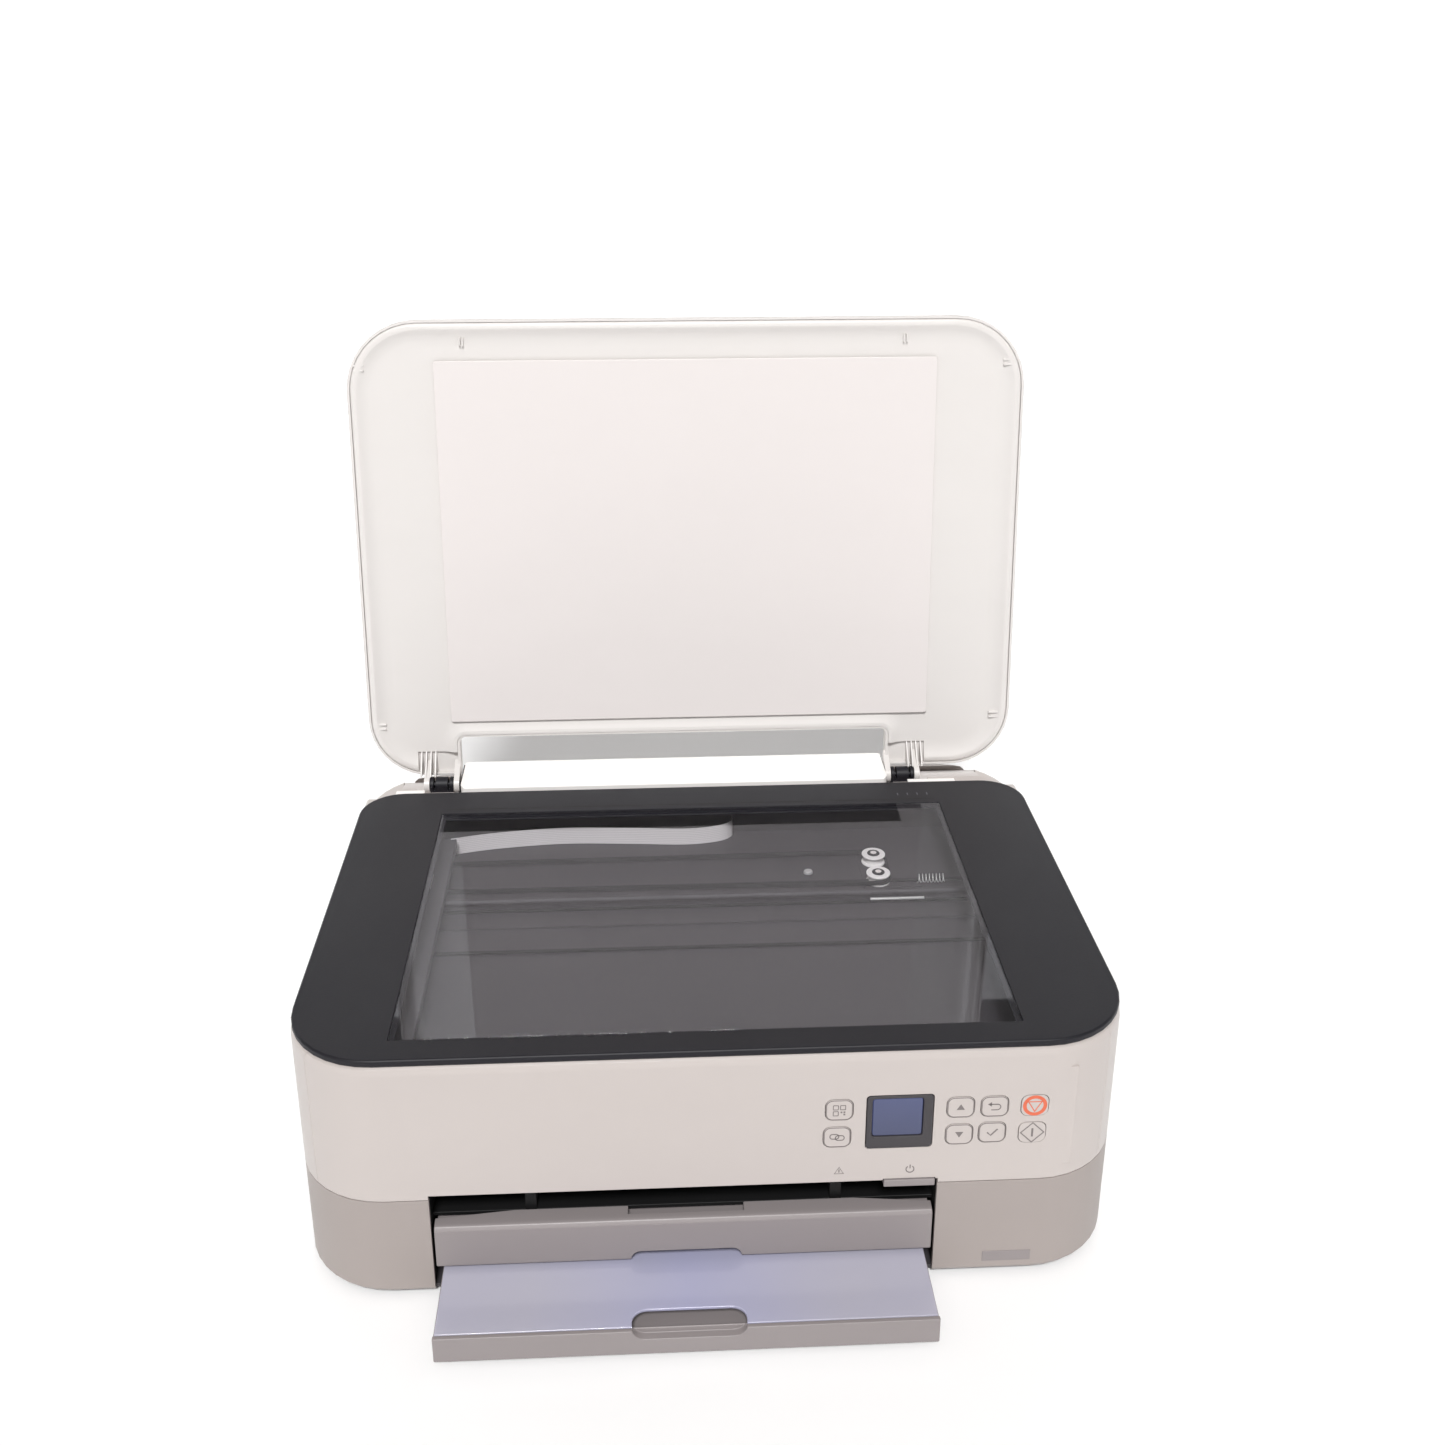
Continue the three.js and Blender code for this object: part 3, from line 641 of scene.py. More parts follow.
def in_line(tree, given, shape, **turned):
    """A shape at every point of a straight line of points."""
    line = tree.node("GeometryNodeMeshLine", {"mode": "OFFSET"}, {
        "Count": given["Count"], "Start Location": given["Start"], "Offset": given["Step"]})
    return tree.node("GeometryNodeInstanceOnPoints", inputs={"Points": line, "Instance": shape, **turned})


def row_tree():
    """Blocks of one size in a row."""
    group, tree, given = geometry_tree("row_of_blocks", [
        *LINE_INPUTS, ("Size", "NodeSocketVector"), ("Material", "NodeSocketMaterial")])
    cube = tree.node("GeometryNodeMeshCube", inputs={"Size": given["Size"]})
    finish_tree(group, tree, in_line(tree, given, cube), given["Material"])
    return group


def stud_tree():
    """Round studs in a row, such as screw heads, a little narrower at the top."""
    group, tree, given = geometry_tree("row_of_studs", [
        *LINE_INPUTS, ("Radius", "NodeSocketFloat"), ("Height", "NodeSocketFloat"),
        ("Turn", "NodeSocketVector"), ("Material", "NodeSocketMaterial")])
    stud = tree.node("GeometryNodeMeshCone", inputs={
        "Vertices": 20, "Radius Top": given["Radius"] * 0.82, "Radius Bottom": given["Radius"],
        "Depth": given["Height"]})
    finish_tree(group, tree, in_line(tree, given, stud, Rotation=given["Turn"]), given["Material"])
    return group


def coil_tree():
    """A coil of wire along Z."""
    group, tree, given = geometry_tree("coil_of_wire", [
        ("Turns", "NodeSocketFloat"), ("Radius", "NodeSocketFloat"), ("Length", "NodeSocketFloat"),
        ("Wire", "NodeSocketFloat"), ("Material", "NodeSocketMaterial")])
    helix = tree.node("GeometryNodeCurveSpiral", inputs={
        "Resolution": 16, "Rotations": given["Turns"], "Start Radius": given["Radius"],
        "End Radius": given["Radius"], "Height": given["Length"]})
    section = tree.node("GeometryNodeCurvePrimitiveCircle", inputs={
        "Resolution": 8, "Radius": given["Wire"] * 0.5})
    wire = tree.node("GeometryNodeCurveToMesh", inputs={
        "Curve": helix, "Profile Curve": section, "Fill Caps": True})
    finish_tree(group, tree, wire, given["Material"])
    return group


TREES = {"row": row_tree, "stud": stud_tree, "coil": coil_tree}


def grown(name, kind, look, **values):
    """A piece made by a geometry tree, turned into a plain mesh."""
    piece = as_object(name, bmesh.new())
    group = bpy.data.node_groups.get(f"{kind}_tree") or TREES[kind]()
    group.name = f"{kind}_tree"
    maker = piece.modifiers.new("make", "NODES")
    maker.node_group = group
    values["Material"] = finish(look)
    for socket in group.interface.items_tree:
        if socket.in_out == "INPUT":
            maker[socket.identifier] = values[socket.name]
    return settle(piece)


def row(name, count, start, step, dims, look, body, slot, rounding=0.0, place=None):
    """A row of small blocks, rounded and fixed to a body."""
    piece = grown(name, "row", look, Count=count, Start=Vector(start), Step=Vector(step), Size=Vector(dims))
    if place is not None:
        piece.data.transform(place)
    if rounding:
        rounded(piece, rounding)
    complete(piece, body, look)


def block(name, centre, dims, look, body, slot, rounding=0.0):
    """One small block, by the same tree as a row."""
    row(name, 1, centre, (0, 0, 0), dims, look, body, slot, rounding)


def studs(name, count, start, step, radius, height, turn, look, body):
    """A row of small round studs, rounded and fixed to a body."""
    piece = grown(name, "stud", look, Count=count, Start=Vector(start), Step=Vector(step), Radius=radius,
                  Height=height, Turn=Vector(turn))
    rounded(piece, radius * 0.12)
    complete(piece, body, look)


# ---- printed symbols ---------------------------------------------------------------------------
def arc(x, z, radius, start, end, steps=24):
    turns = [math.radians(start + (end - start) * i / steps) for i in range(steps + 1)]
    return [(x + radius * math.cos(t), z + radius * math.sin(t)) for t in turns]


def rounded_square(half_width, half_height, radius):
    points = []
    for sx, sz, start in ((1, -1, -90), (1, 1, 0), (-1, 1, 90), (-1, -1, 180)):
        points += arc(sx * (half_width - radius), sz * (half_height - radius), radius, start, start + 90, 6)
    return points


class Print:
    """Flat shapes of ink on an upright face, about one point of it, drawn in millimetres."""

    def __init__(self, centre):
        self.bm = bmesh.new()
        self.centre = Vector(centre)
        self.height = bpy.context.scene.printer_sizes.print_relief

    def spot(self, point, off):
        return self.centre + Vector((point[0] * MM, -off, point[1] * MM))

    def patch(self, points):
        low = [self.bm.verts.new(self.spot(p, 0.0)) for p in points]
        high = [self.bm.verts.new(self.spot(p, self.height)) for p in points]
        self.bm.faces.new(reversed(low))
        self.bm.faces.new(high)
        band(self.bm, low, high)

    def line(self, points, width, closed=False):
        """A line of one width, open or closed on itself."""
        left, right = [], []
        count = len(points)
        for i, point in enumerate(points):
            before = points[i - 1] if i or closed else point
            after = points[(i + 1) % count] if i + 1 < count or closed else point
            along = Vector((after[0] - before[0], after[1] - before[1])).normalized()
            side = Vector((-along.y, along.x)) * width / 2
            left.append((point[0] + side.x, point[1] + side.y))
            right.append((point[0] - side.x, point[1] - side.y))
        if not closed:
            self.patch(left + right[::-1])
            return
        section = ((left, 0.0), (left, self.height), (right, self.height), (right, 0.0))
        hoop(self.bm, [[self.spot(point, off) for point in side] for side, off in section])

    def piece(self, name, body, look):
        bmesh.ops.recalc_face_normals(self.bm, faces=self.bm.faces)
        complete(as_object(name, self.bm), body, look)


def draw_up(ink, width):
    ink.patch([(-2.0, -1.4), (2.0, -1.4), (0.0, 1.8)])


def draw_down(ink, width):
    ink.patch([(-2.0, 1.4), (0.0, -1.8), (2.0, 1.4)])


def draw_back(ink, width):
    ink.line([(-2.2, 1.3), (1.4, 1.3)] + arc(1.2, -0.3, 1.6, 84, -88, 12) + [(-1.6, -1.9)], width)
    ink.patch([(-3.4, 1.3), (-1.5, 0.0), (-1.5, 2.6)])


def draw_tick(ink, width):
    ink.line([(-2.4, 0.1), (-0.7, -1.7), (2.5, 1.9)], width * 1.5)


def draw_link(ink, width):
    for sign in (-1, 1):
        ink.line([(sign * 1.3 + x, sign * -0.4 + z) for x, z in rounded_square(2.1, 1.35, 1.3)], width, True)


def draw_code(ink, width):
    for x, z in ((-1.7, 1.5), (1.7, 1.5), (-1.7, -1.9)):
        ink.line([(x + dx, z + dz) for dx, dz in rounded_square(1.2, 1.2, 0.2)], width * 0.8, True)
    for x, z in ((1.0, -1.2), (2.4, -2.5), (2.4, -1.2)):
        ink.patch([(x - 0.45, z - 0.45), (x + 0.45, z - 0.45), (x + 0.45, z + 0.45), (x - 0.45, z + 0.45)])


def draw_start(ink, width):
    ink.line([(0.0, -5.6), (5.6, 0.0), (0.0, 5.6), (-5.6, 0.0)], width * 1.5, True)
    ink.line([(0.0, -2.4), (0.0, 2.4)], width * 1.8)


def draw_stop(ink, width):
    ink.line(arc(0.0, 0.0, 4.9, 0, 354, 58), width * 3.2, True)
    ink.line([(-3.2, 2.2), (0.0, -3.4), (3.2, 2.2)], width * 1.8, True)


SYMBOLS = {
    "scan_code": draw_code, "connect": draw_link, "up": draw_up, "down": draw_down, "back": draw_back,
    "ok": draw_tick, "start": draw_start, "stop": draw_stop,
}
UNFRAMED = ("start", "stop")


# ---- operators ---------------------------------------------------------------------------------
class PrinterStep:
    """What every step shares: its place in the menus and the sizes it reads."""

    bl_options = {"REGISTER", "UNDO"}

    @property
    def sizes(self):
        return bpy.context.scene.printer_sizes


class PRINTER_OT_camera(PrinterStep, bpy.types.Operator):
    """Sets the camera in front of the printer, above it and a little to its left"""

    bl_idname = "printer.camera"
    bl_label = "Camera"

    def execute(self, context):
        eye = spot(-27.6, -590.9, 584.4)
        yaw, pitch, roll = 3.008, 20.72, 0.07
        data = bpy.data.cameras.new("camera")
        data.sensor_width = 36.0
        data.lens = 38.5337
        data.shift_x = 0.000277
        data.shift_y = -0.085536
        camera = bpy.data.objects.new("camera", data)
        turn = Matrix.Rotation(-math.radians(yaw), 4, "Z") @ Matrix.Rotation(math.radians(90 - pitch), 4, "X")
        camera.matrix_world = Matrix.Translation(eye) @ turn @ Matrix.Rotation(math.radians(roll), 4, "Z")
        context.scene.collection.objects.link(camera)
        context.scene.camera = camera
        return {"FINISHED"}


class PRINTER_OT_stage(PrinterStep, bpy.types.Operator):
    """Lays a pale floor and a backdrop under a soft front light, a faint rear one and a pale sky"""

    bl_idname = "printer.stage"
    bl_label = "Stage"

    def lamp(self, name, elevation, azimuth, softness, strength):
        """A broad far light: elevation and azimuth in degrees, from in front and towards the right."""
        data = bpy.data.lights.new(name, "SUN")
        data.angle = math.radians(softness)
        data.energy = strength * math.pi
        light = bpy.data.objects.new(name, data)
        light.rotation_euler = (math.radians(90 - elevation), 0.0, math.radians(azimuth))
        bpy.context.scene.collection.objects.link(light)

    def sky(self):
        """White round the horizon and dimmer overhead."""
        world = bpy.data.worlds.new("studio")
        world.use_nodes = True
        tree = Tree(world.node_tree)
        where = tree.node("ShaderNodeTexCoord", output="Generated")
        height = tree.node("ShaderNodeSeparateXYZ", inputs={"Vector": where}, output="Z")
        low, high, horizon, overhead = 0.06, 0.14, 1.1, 0.26
        amount = ((height - low) / (high - low)).clipped()
        background = world.node_tree.nodes["Background"]
        background.inputs["Color"].default_value = (1.0, 0.97, 0.955, 1.0)
        tree.feed(background.inputs["Strength"], horizon + amount * (overhead - horizon))
        return world

    def execute(self, context):
        reach, wall_place, wall_height = 40.0, 3.2, 2.5
        floor = as_object("floor", box_mesh((-reach, -reach, -0.02), (reach, reach, 0.0)))
        paper = Finish("floor_paper", (0.975, 0.975, 0.975), 0.8)
        paper.put("Base Color", paper.shade(paper.noise(5.0), 0.99, 1.01))
        wall = as_object(
            "backdrop", box_mesh((-reach, wall_place, 0.0), (reach, wall_place + 0.04, wall_height)))
        for piece in (floor, wall):
            piece.data.materials.append(paper.material)
        context.scene.world = self.sky()
        self.lamp("key", 48.0, -4.0, 12.0, 0.96)
        self.lamp("rim", 52.0, 178.0, 30.0, 0.04)
        context.scene.view_settings.view_transform = "Standard"
        return {"FINISHED"}


class PRINTER_OT_shells(PrinterStep, bpy.types.Operator):
    """Makes the lower housing, the rear cover, the side walls, the feet and the pan"""

    bl_idname = "printer.shells"
    bl_label = "Shells"

    def execute(self, context):
        refine_all(["lower_housing", "rear_cover", "upper_housing"], self.sizes.shell_round)
        refine_all(["base_pan", "tray_frame", "power_inlet"], self.sizes.part_round)
        refine_all(["foot_1", "foot_2", "foot_3", "foot_4", "grip_left", "grip_right"], self.sizes.part_round)
        self.badge()
        self.underside_screws()
        self.rear_vents()
        self.socket_blades()
        self.data_socket()
        return {"FINISHED"}

    def badge(self):
        low = Vector((0.132, FRONT - 0.0003, 0.009))
        badge = box_mesh(low, low + Vector((0.024, 0.0006, 0.006)))
        added("badge", badge, 0.0002, "base", "tray_plastic")

    def underside_screws(self):
        pan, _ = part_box("base_pan")
        for side, x in (("left", -0.12), ("right", 0.12)):
            studs(f"pan_screws_{side}", 3, (x, FRONT + 0.06, pan.z - 0.0004), (0, 0.095, 0), 0.0034, 0.0012,
                  (math.pi, 0, 0), "steel", "base")

    def rear_vents(self):
        _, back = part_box("rear_cover")
        row("rear_vent_ribs", 14, (-0.11, back.y + 0.0001, 0.09), (0.006, 0, 0), (0.0028, 0.0012, 0.026),
            "dark_plastic", "base", "dark_plastic", 0.0004)

    def socket_blades(self):
        low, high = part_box("power_inlet")
        row("inlet_blades", 2, ((low.x + high.x) / 2 - 0.0042, high.y - 0.010, (low.z + high.z) / 2),
            (0.0084, 0, 0), (0.0022, 0.012, 0.0022), "steel", "base", "steel", 0.0004)

    def data_socket(self):
        """A square metal socket with a pale tongue, behind the hole in the back of the housing."""
        low, high = spot(-168, 296, 21.5), spot(-156, 310.5, 32.5)
        socket = as_object("data_socket", box_mesh(low, high))
        inner = Vector((0.0009, 0.004, 0.0009))
        cut_out(socket, box_mesh(low + inner, high + Vector((-inner.x, 0.01, -inner.z))))
        complete(rounded(socket, 0.0003), "base", "steel")
        tongue = box_mesh(spot(-165.2, 298, 25.2), spot(-158.8, 308.5, 29.4))
        added("data_socket_tongue", tongue, 0.0003, "base", "printed_pale")


class PRINTER_OT_panel(PrinterStep, bpy.types.Operator):
    """Makes the control panel, its keys, their printed symbols and the display"""

    bl_idname = "printer.panel"
    bl_label = "Control panel"

    def execute(self, context):
        refine("control_panel", 0.0004)
        for key, draw in SYMBOLS.items():
            refine(f"{key}_button", 0.0002)
            self.symbol(key, draw)
        refine("power_button", 0.0004)
        self.panel_marks()
        refine("display_bezel", 0.0004)
        refine("display_screen", 0.0003)
        return {"FINISHED"}

    def symbol(self, key, draw):
        """A key's symbol, with a line round the key's edge unless the symbol fills the key."""
        node = f"{key}_button"
        low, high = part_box(node)
        middle = (low + high) / 2
        half_width, half_height = (high.x - low.x) / 2 / MM, (high.z - low.z) / 2 / MM
        ink = Print((middle.x, low.y, middle.z))
        width = self.sizes.print_width / MM
        margin, corner = 0.35, 3.1
        if key not in UNFRAMED:
            ink.line(rounded_square(half_width - margin, half_height - margin, corner), width * 0.8, True)
        draw(ink, width)
        look = "printed_orange" if key == "stop" else "printed_grey"
        ink.piece(f"{node}_symbol", NODE_BODY[node], look)

    def panel_marks(self):
        width = self.sizes.print_width / MM
        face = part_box("control_panel")[0].y
        alarm = Print((0.0597, face, 0.0672))
        alarm.line([(-2.2, -1.6), (2.2, -1.6), (0.0, 2.2)], width, True)
        alarm.line([(0.0, -0.9), (0.0, 0.9)], width)
        alarm.piece("alarm_mark", "scanner_unit", "printed_grey")
        power = Print((0.0939, face, 0.0669))
        power.line(arc(0.0, 0.0, 1.9, 125, 415, 20), width)
        power.line([(0.0, 0.4), (0.0, 2.6)], width)
        power.piece("power_mark", "scanner_unit", "printed_grey")


class PRINTER_OT_scanner(PrinterStep, bpy.types.Operator):
    """Makes the scanner frame, the glass and what is seen under it"""

    bl_idname = "printer.scanner"
    bl_label = "Scanner"

    def execute(self, context):
        refine("scanner_frame", self.sizes.part_round, segments=3)
        refine("platen_glass", 0.0002)
        refine_all(["scanner_case", "scan_belt"], self.sizes.part_round)
        refine_all(["scan_carriage", "image_sensor"], self.sizes.part_round)
        refine_all(["scan_pulley_drive", "scan_pulley_tension", "scan_pulley_idler"], self.sizes.part_round)
        self.bezel_marks()
        self.bed_details()
        self.carriage_strips()
        self.pulley_hubs()
        self.tension_spring()
        self.flat_cable()
        return {"FINISHED"}

    def bezel_marks(self):
        """Size marks behind the glass, without numbers, a dark strip of painted shade where the groove runs there,
        and white plates by the hinges.
        """
        top = BEZEL_HIGH.z + 0.00002
        row("bezel_marks_rear", 4, (0.124, GLASS_HIGH.y + 0.0115, top), (0.006, 0, 0),
            (0.0006, 0.003, 0.00008), "printed_dim", "scanner_unit", "black_frame")
        # Painted shade: a thin near-black strip on the bezel stands in for the shaded groove.
        block("bezel_groove_shade", (-0.002, GLASS_HIGH.y + 0.0055, BEZEL_HIGH.z), (0.294, 0.0009, 0.00012),
              "chassis_black", "scanner_unit", "black_frame")
        for side, x0, x1 in (("left", -183, -165.5), ("right", 133.5, 163)):
            plate = box_mesh(spot(x0, 262.6, 136.0), spot(x1, 266.9, 137.0))
            added(f"pod_plate_{side}", plate, 0.0004, "scanner_unit", "white_shell")

    def bed_details(self):
        """Ridges, clips, screws and the plate of the belt tensioner on the floor of the scanner."""
        low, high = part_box("scanner_case")
        floor = low.z + 0.0022
        width = high.x - low.x - 0.008
        middle = (low.x + high.x) / 2
        ridges = {"front": (0.127, 0.0020), "belt_front": (0.168, 0.0016), "belt_middle": (0.177, 0.0026),
                  "belt_rear": (0.190, 0.0030)}
        for name, (y, depth) in ridges.items():
            block(f"bed_ridge_{name}", (middle, FRONT + y, floor + 0.0006), (width, depth, 0.0018),
                  "chassis_black", "scanner_unit", "dark_plastic", 0.0004)
        row("bed_rear_clips", 5, (-0.10, high.y - 0.0032, floor + 0.017), (0.05, 0, 0),
            (0.006, 0.0016, 0.003), "rubber", "scanner_unit", "dark_plastic", 0.0003)
        studs("bed_screw", 1, (0.065, FRONT + 0.201, floor + 0.0006), (0, 0, 0), 0.0029, 0.0016,
              (0, 0, 0), "bright_steel", "scanner_unit")
        block("tension_plate", (0.113, FRONT + 0.201, floor + 0.0003), (0.034, 0.036, 0.0006),
              "dark_plastic", "scanner_unit", "steel", 0.0002)
        block("tension_bar", (0.1125, FRONT + 0.1675, floor + 0.0026), (0.031, 0.0016, 0.0012),
              "bright_steel", "scanner_unit", "steel", 0.0003)

    def carriage_strips(self):
        """White strips on the scan head: its lens window, a cable clip, a belt clamp and a front clip."""
        low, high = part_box("image_sensor")
        top = high.z
        middle = (low.y + high.y) / 2
        block("lens_window", (high.x - 0.0022, middle + 0.004, top + 0.0001), (0.0018, 0.176, 0.0005),
              "printed_pale", "scan_head", "white_shell", 0.0001)
        clips = {"cable": (0.220, 0.0045, 0.012), "belt": (0.170, 0.0070, 0.015),
                 "front": (0.034, 0.0065, 0.006)}
        for name, (y, width, depth) in clips.items():
            block(f"head_clip_{name}", (high.x - 0.0014, FRONT + y, top), (width, depth, 0.0012),
                  "printed_pale", "scan_head", "white_shell", 0.0003)

    def pulley_hubs(self):
        """Dark rings with pale pins on top of the two belt pulleys at the right."""
        still = (0, 0, 0)
        hub = {"ring": (0.0040, 0.0001, "chassis_black"), "pin": (0.0021, 0.0003, "printed_pale")}
        for name in ("tension", "idler"):
            low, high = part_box(f"scan_pulley_{name}")
            middle = (low + high) / 2
            for part, (radius, rise, look) in hub.items():
                place = (middle.x, middle.y, high.z + rise)
                studs(f"pulley_{name}_{part}", 1, place, still, radius, 0.0006, still, look, f"{name}_pulley")

    def tension_spring(self):
        spring = grown("tension_spring", "coil", "bright_steel", Turns=8.0, Radius=0.0024, Length=0.016,
                       Wire=self.sizes.wire)
        spring.data.transform(
            Matrix.Translation((0.127, FRONT + 0.1855, 0.1145)) @ Matrix.Rotation(math.pi / 2, 4, "Y"))
        spring.data.shade_smooth()
        complete(spring, "scanner_unit", "bright_steel")

    def flat_cable(self):
        """The cable's own route, smoothed, as a thin upright band."""
        route = [(-0.147, 0.233), (-0.120, 0.239), (-0.080, 0.243), (-0.040, 0.241), (-0.006, 0.2385),
                 (0.014, 0.2415), (0.022, 0.247), (0.023, 0.2526)]
        low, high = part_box("ribbon_cable")
        points = smooth_route([Vector((x, FRONT + y)) for x, y in route], 12)
        half = self.sizes.ribbon / 2
        rings = []
        for i, point in enumerate(points):
            along = (points[min(i + 1, len(points) - 1)] - points[max(i - 1, 0)]).normalized()
            side = Vector((-along.y, along.x)) * half
            a, b = point + side, point - side
            rings.append([(a.x, a.y, low.z), (b.x, b.y, low.z), (b.x, b.y, high.z), (a.x, a.y, high.z)])
        cable = as_object("ribbon_cable_band", rings_to_mesh(rings))
        cable.data.shade_smooth()
        cable.data.set_sharp_from_angle(angle=math.radians(40))
        cable.data.materials.append(finish("ribbon_film"))
        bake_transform(cable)
        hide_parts("ribbon_cable")


class PRINTER_OT_lid(PrinterStep, bpy.types.Operator):
    """Makes the lid's shell, its dished lining, the ribs and the document pad"""

    bl_idname = "printer.lid"
    bl_label = "Lid"

    def execute(self, context):
        refine("lid_cover", self.sizes.shell_round, segments=3)
        refine_all(["hinge_arm_left", "hinge_arm_right"], self.sizes.part_round)
        self.lining()
        self.pad()
        self.ribs()
        return {"FINISHED"}

    def closed_corners(self, node):
        """A lid node's lowest and highest corners with the lid shut."""
        back = LID_OPEN.inverted()
        points = [back @ v.co for v in frame["nodes"][node].data.vertices]
        low = Vector([min(p[i] for p in points) for i in range(3)])
        high = Vector([max(p[i] for p in points) for i in range(3)])
        return low, high

    def notch(self, steps):
        """A block in the place of the lid's notch, grown all round by (growth, height) steps."""
        low, high = spot(-145.4, 252.3, 0), spot(122.6, 330, 0)
        return stepped_plate(low, high, 0.004, 0.001, [(-growth, height) for growth, height in steps], 8)

    def lining(self):
        """A soft raised rim round a shallow dish, with room for the notch and the hinge lugs."""
        low, high = self.closed_corners("lid_liner")
        front, rear = 0.0401, 0.0351
        meet = -0.00025
        body = [(0.0030, low.z), (0.0012, low.z + 0.0003), (0.0003, low.z + 0.0009), (meet, low.z + 0.0018),
                (meet, high.z)]
        lining = as_object("lid_lining", stepped_plate(low, high, front, rear, body))
        slope = [(0.0028, -0.02), (0.0034, 0.0), (0.0044, 0.0003), (0.0060, 0.0010), (0.0082, 0.0017),
                 (0.0110, 0.0022), (0.0150, 0.0024)]
        bank = [(inset, low.z + rise) for inset, rise in slope]
        dish = as_object("dish", stepped_plate(low, high, front, rear, bank))
        cut_out(dish, self.notch(bank))
        cut_out(lining, bmesh_of(dish))
        bpy.data.objects.remove(dish)
        room = 0.0017
        cut_out(lining, self.notch([(room, low.z - 0.03), (room, high.z + 0.01)]))
        lug_front, lug_half, lug_top = spot(0, 262, 0).y, 0.015, low.z + 0.004
        for side in ("left", "right"):
            arm_low, arm_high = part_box(f"hinge_arm_{side}")
            middle = (arm_low.x + arm_high.x) / 2
            cut_out(lining, box_mesh((middle - lug_half, lug_front, 0.0), (middle + lug_half, 1.0, lug_top)))
        lining.data.transform(LID_OPEN)
        rounded(lining, 0.0003, angle=50.0)
        complete(lining, "lid", "lid_shell", ["lid_liner"])

    def pad(self):
        low, high = self.closed_corners("document_pad")
        sheet_profile = [(0.0006, low.z), (0.0001, low.z + 0.00025), (0.0, low.z + 0.0006),
                         (0.0001, low.z + 0.0009)]
        sheet = as_object("document_pad_sheet", stepped_plate(low, high, 0.0016, 0.0016, sheet_profile, 6))
        core_profile = [(0.0012, low.z + 0.001), (0.0008, low.z + 0.0018), (0.0012, high.z)]
        core = as_object("document_pad_core", stepped_plate(low, high, 0.002, 0.002, core_profile, 6))
        for piece in (sheet, core):
            piece.data.transform(LID_OPEN)
            smoothed(piece)
        complete(core, "lid", "foam_core")
        complete(sheet, "lid", "foam_pad", ["document_pad"])

    def ribs(self):
        """Pairs of small ribs near the rim, and the blades that stiffen the hinge corners."""
        low, _ = self.closed_corners("lid_liner")
        crest = low.z + 0.0019
        sideways = ((0, 0.0029, 0), (0.0062, 0.0012, 0.0034))
        lengthways = ((0.0018, 0, 0), (0.0010, 0.0048, 0.0034))
        left, right, front, rear = -193.2, 190.8, 20.85, 243.05
        pairs = {
            "side_ribs_left_front": (left, front, sideways),
            "side_ribs_left_rear": (left, rear, sideways),
            "side_ribs_right_front": (right, front, sideways),
            "side_ribs_right_rear": (right, rear, sideways),
            "front_ribs_left": (-133.9, 7.5, lengthways), "front_ribs_right": (127.6, 7.5, lengthways),
        }
        for name, (x, y, (step, dims)) in pairs.items():
            start = (*spot(x, y, 0).xy, crest)
            row(name, 2, start, step, dims, "lid_shell", "lid", "white_shell", 0.0003, LID_OPEN)
        wedge = [(259, 142.7), (265.5, 139), (272, 134), (276, 132.2), (275.6, 142.7)]
        pitch, half = 2.9, 0.45
        for side, start in (("left", -169.6), ("right", 136.4)):
            for i in range(4):
                faces = (start + i * pitch - half, start + i * pitch + half)
                blade = rings_to_mesh([[spot(x, y, z) for y, z in wedge] for x in faces])
                piece = as_object(f"hinge_blade_{side}_{i + 1}", blade)
                piece.data.transform(LID_OPEN)
                rounded(piece, 0.00025)
                complete(piece, "lid", "lid_shell")


class PRINTER_OT_rear_tray(PrinterStep, bpy.types.Operator):
    """Makes the rear paper feed: its cover, chute and guides"""

    bl_idname = "printer.rear_tray"
    bl_label = "Rear tray"

    def execute(self, context):
        refine("rear_tray_cover", 0.0006, segments=3)
        refine_all(["rear_tray_frame", "rear_guide_left", "rear_guide_right"], self.sizes.part_round)
        return {"FINISHED"}


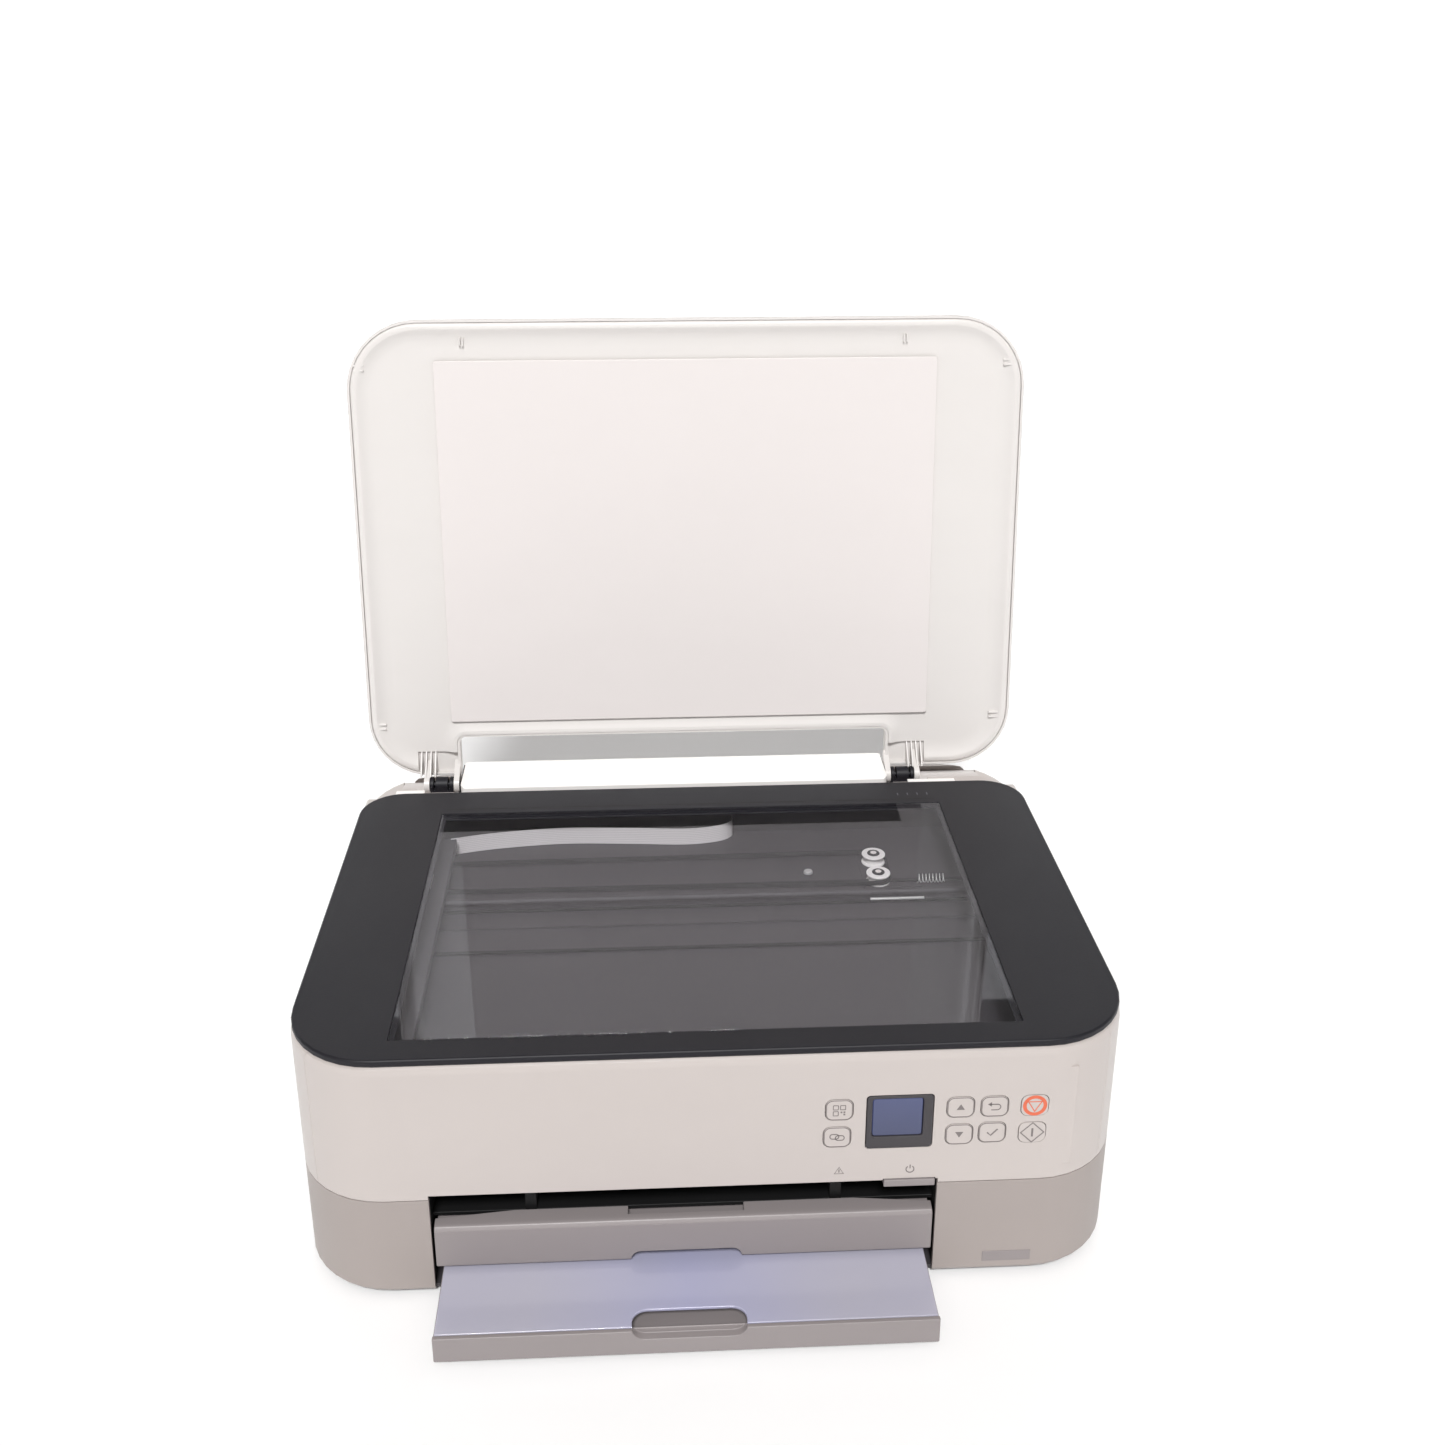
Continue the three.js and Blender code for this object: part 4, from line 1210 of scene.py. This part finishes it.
class PRINTER_OT_mechanism(PrinterStep, bpy.types.Operator):
    """Makes the print carriage, its cartridges, rail, rollers and boards"""

    bl_idname = "printer.mechanism"
    bl_label = "Mechanism"

    def execute(self, context):
        refine_all([
            "carriage_rail", "print_platen", "carriage_motor", "main_board", "power_supply",
            "maintenance_station", "feed_roller", "eject_roller", "pickup_roller", "print_carriage",
            "black_cartridge", "colour_cartridge"], self.sizes.part_round)
        self.encoder_and_belt()
        self.board_parts()
        return {"FINISHED"}

    def encoder_and_belt(self):
        rail_low, rail_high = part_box("carriage_rail")
        block("encoder_strip", (0.0, rail_low.y - 0.0008, rail_high.z - 0.012),
              (rail_high.x - rail_low.x - 0.006, 0.0003, 0.007), "smoke_cover", "base", "smoke_cover")
        motor_low, motor_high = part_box("carriage_motor")
        x0, z = (motor_low.x + motor_high.x) / 2, (motor_low.z + motor_high.z) / 2
        x1 = rail_high.x - 0.017
        loops = []
        for radius in (0.0046, 0.0058):
            points = arc(x1, z, radius, -90, 90, 12) + arc(x0, z, radius, 90, 270, 12)
            front, back = rail_high.y - 0.0068, rail_high.y - 0.0024
            loops.append([[(x, y, h) for x, h in points] for y in (front, back)])
        inner, outer = loops
        belt = bmesh.new()
        hoop(belt, [*inner, *reversed(outer)])
        bmesh.ops.recalc_face_normals(belt, faces=belt.faces)
        complete(as_object("carriage_belt", belt), "base", "rubber")
        idler = roller_mesh((x1, rail_high.y - 0.0046, z), 0.0044, 0.0052)
        added("belt_idler", idler, 0.0003, "base", "white_shell")

    def board_parts(self):
        low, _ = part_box("main_board")
        row("board_chips", 5, (low.x + 0.0024, low.y + 0.016, low.z + 0.009), (0, 0.03, 0),
            (0.0022, 0.012, 0.009), "black_frame", "base", "board", 0.0003)


class PRINTER_OT_cassette(PrinterStep, bpy.types.Operator):
    """Makes the paper cassette, its cover and its guides"""

    bl_idname = "printer.cassette"
    bl_label = "Cassette"

    def execute(self, context):
        refine("cassette_tray", 0.0007, segments=3)
        refine("cassette_cover", 0.0005, segments=3)
        refine_all(["cassette_guide_left", "cassette_guide_right"], self.sizes.part_round)
        return {"FINISHED"}


class PRINTER_OT_output(PrinterStep, bpy.types.Operator):
    """Makes the output tray"""

    bl_idname = "printer.output"
    bl_label = "Output tray"

    def execute(self, context):
        refine("output_tray", 0.0007, segments=3)
        return {"FINISHED"}


class PRINTER_PT_panel(bpy.types.Panel):
    """Lists the printer's settings and steps."""

    bl_label = "Inkjet printer"
    bl_idname = "PRINTER_PT_panel"
    bl_space_type = "VIEW_3D"
    bl_region_type = "UI"
    bl_category = "Printer"

    def draw(self, context):
        for settings in (context.scene.printer_sizes, context.scene.printer_colours):
            column = self.layout.column(align=True)
            for name in settings.__annotations__:
                column.prop(settings, name)
        for step in STEPS:
            self.layout.operator(step.bl_idname)


STEPS = (
    PRINTER_OT_camera, PRINTER_OT_stage, PRINTER_OT_shells, PRINTER_OT_panel, PRINTER_OT_scanner,
    PRINTER_OT_lid, PRINTER_OT_rear_tray, PRINTER_OT_mechanism, PRINTER_OT_cassette, PRINTER_OT_output,
)
CLASSES = (PrinterSizes, PrinterColours, *STEPS, PRINTER_PT_panel)


def register():
    for item in CLASSES:
        bpy.utils.register_class(item)
    bpy.types.Scene.printer_sizes = bpy.props.PointerProperty(type=PrinterSizes)
    bpy.types.Scene.printer_colours = bpy.props.PointerProperty(type=PrinterColours)


def unregister():
    del bpy.types.Scene.printer_colours
    del bpy.types.Scene.printer_sizes
    for item in reversed(CLASSES):
        bpy.utils.unregister_class(item)


def main():
    register()
    for step in STEPS:
        getattr(bpy.ops.printer, step.bl_idname.split(".")[1])()


if __name__ == "__main__":
    main()
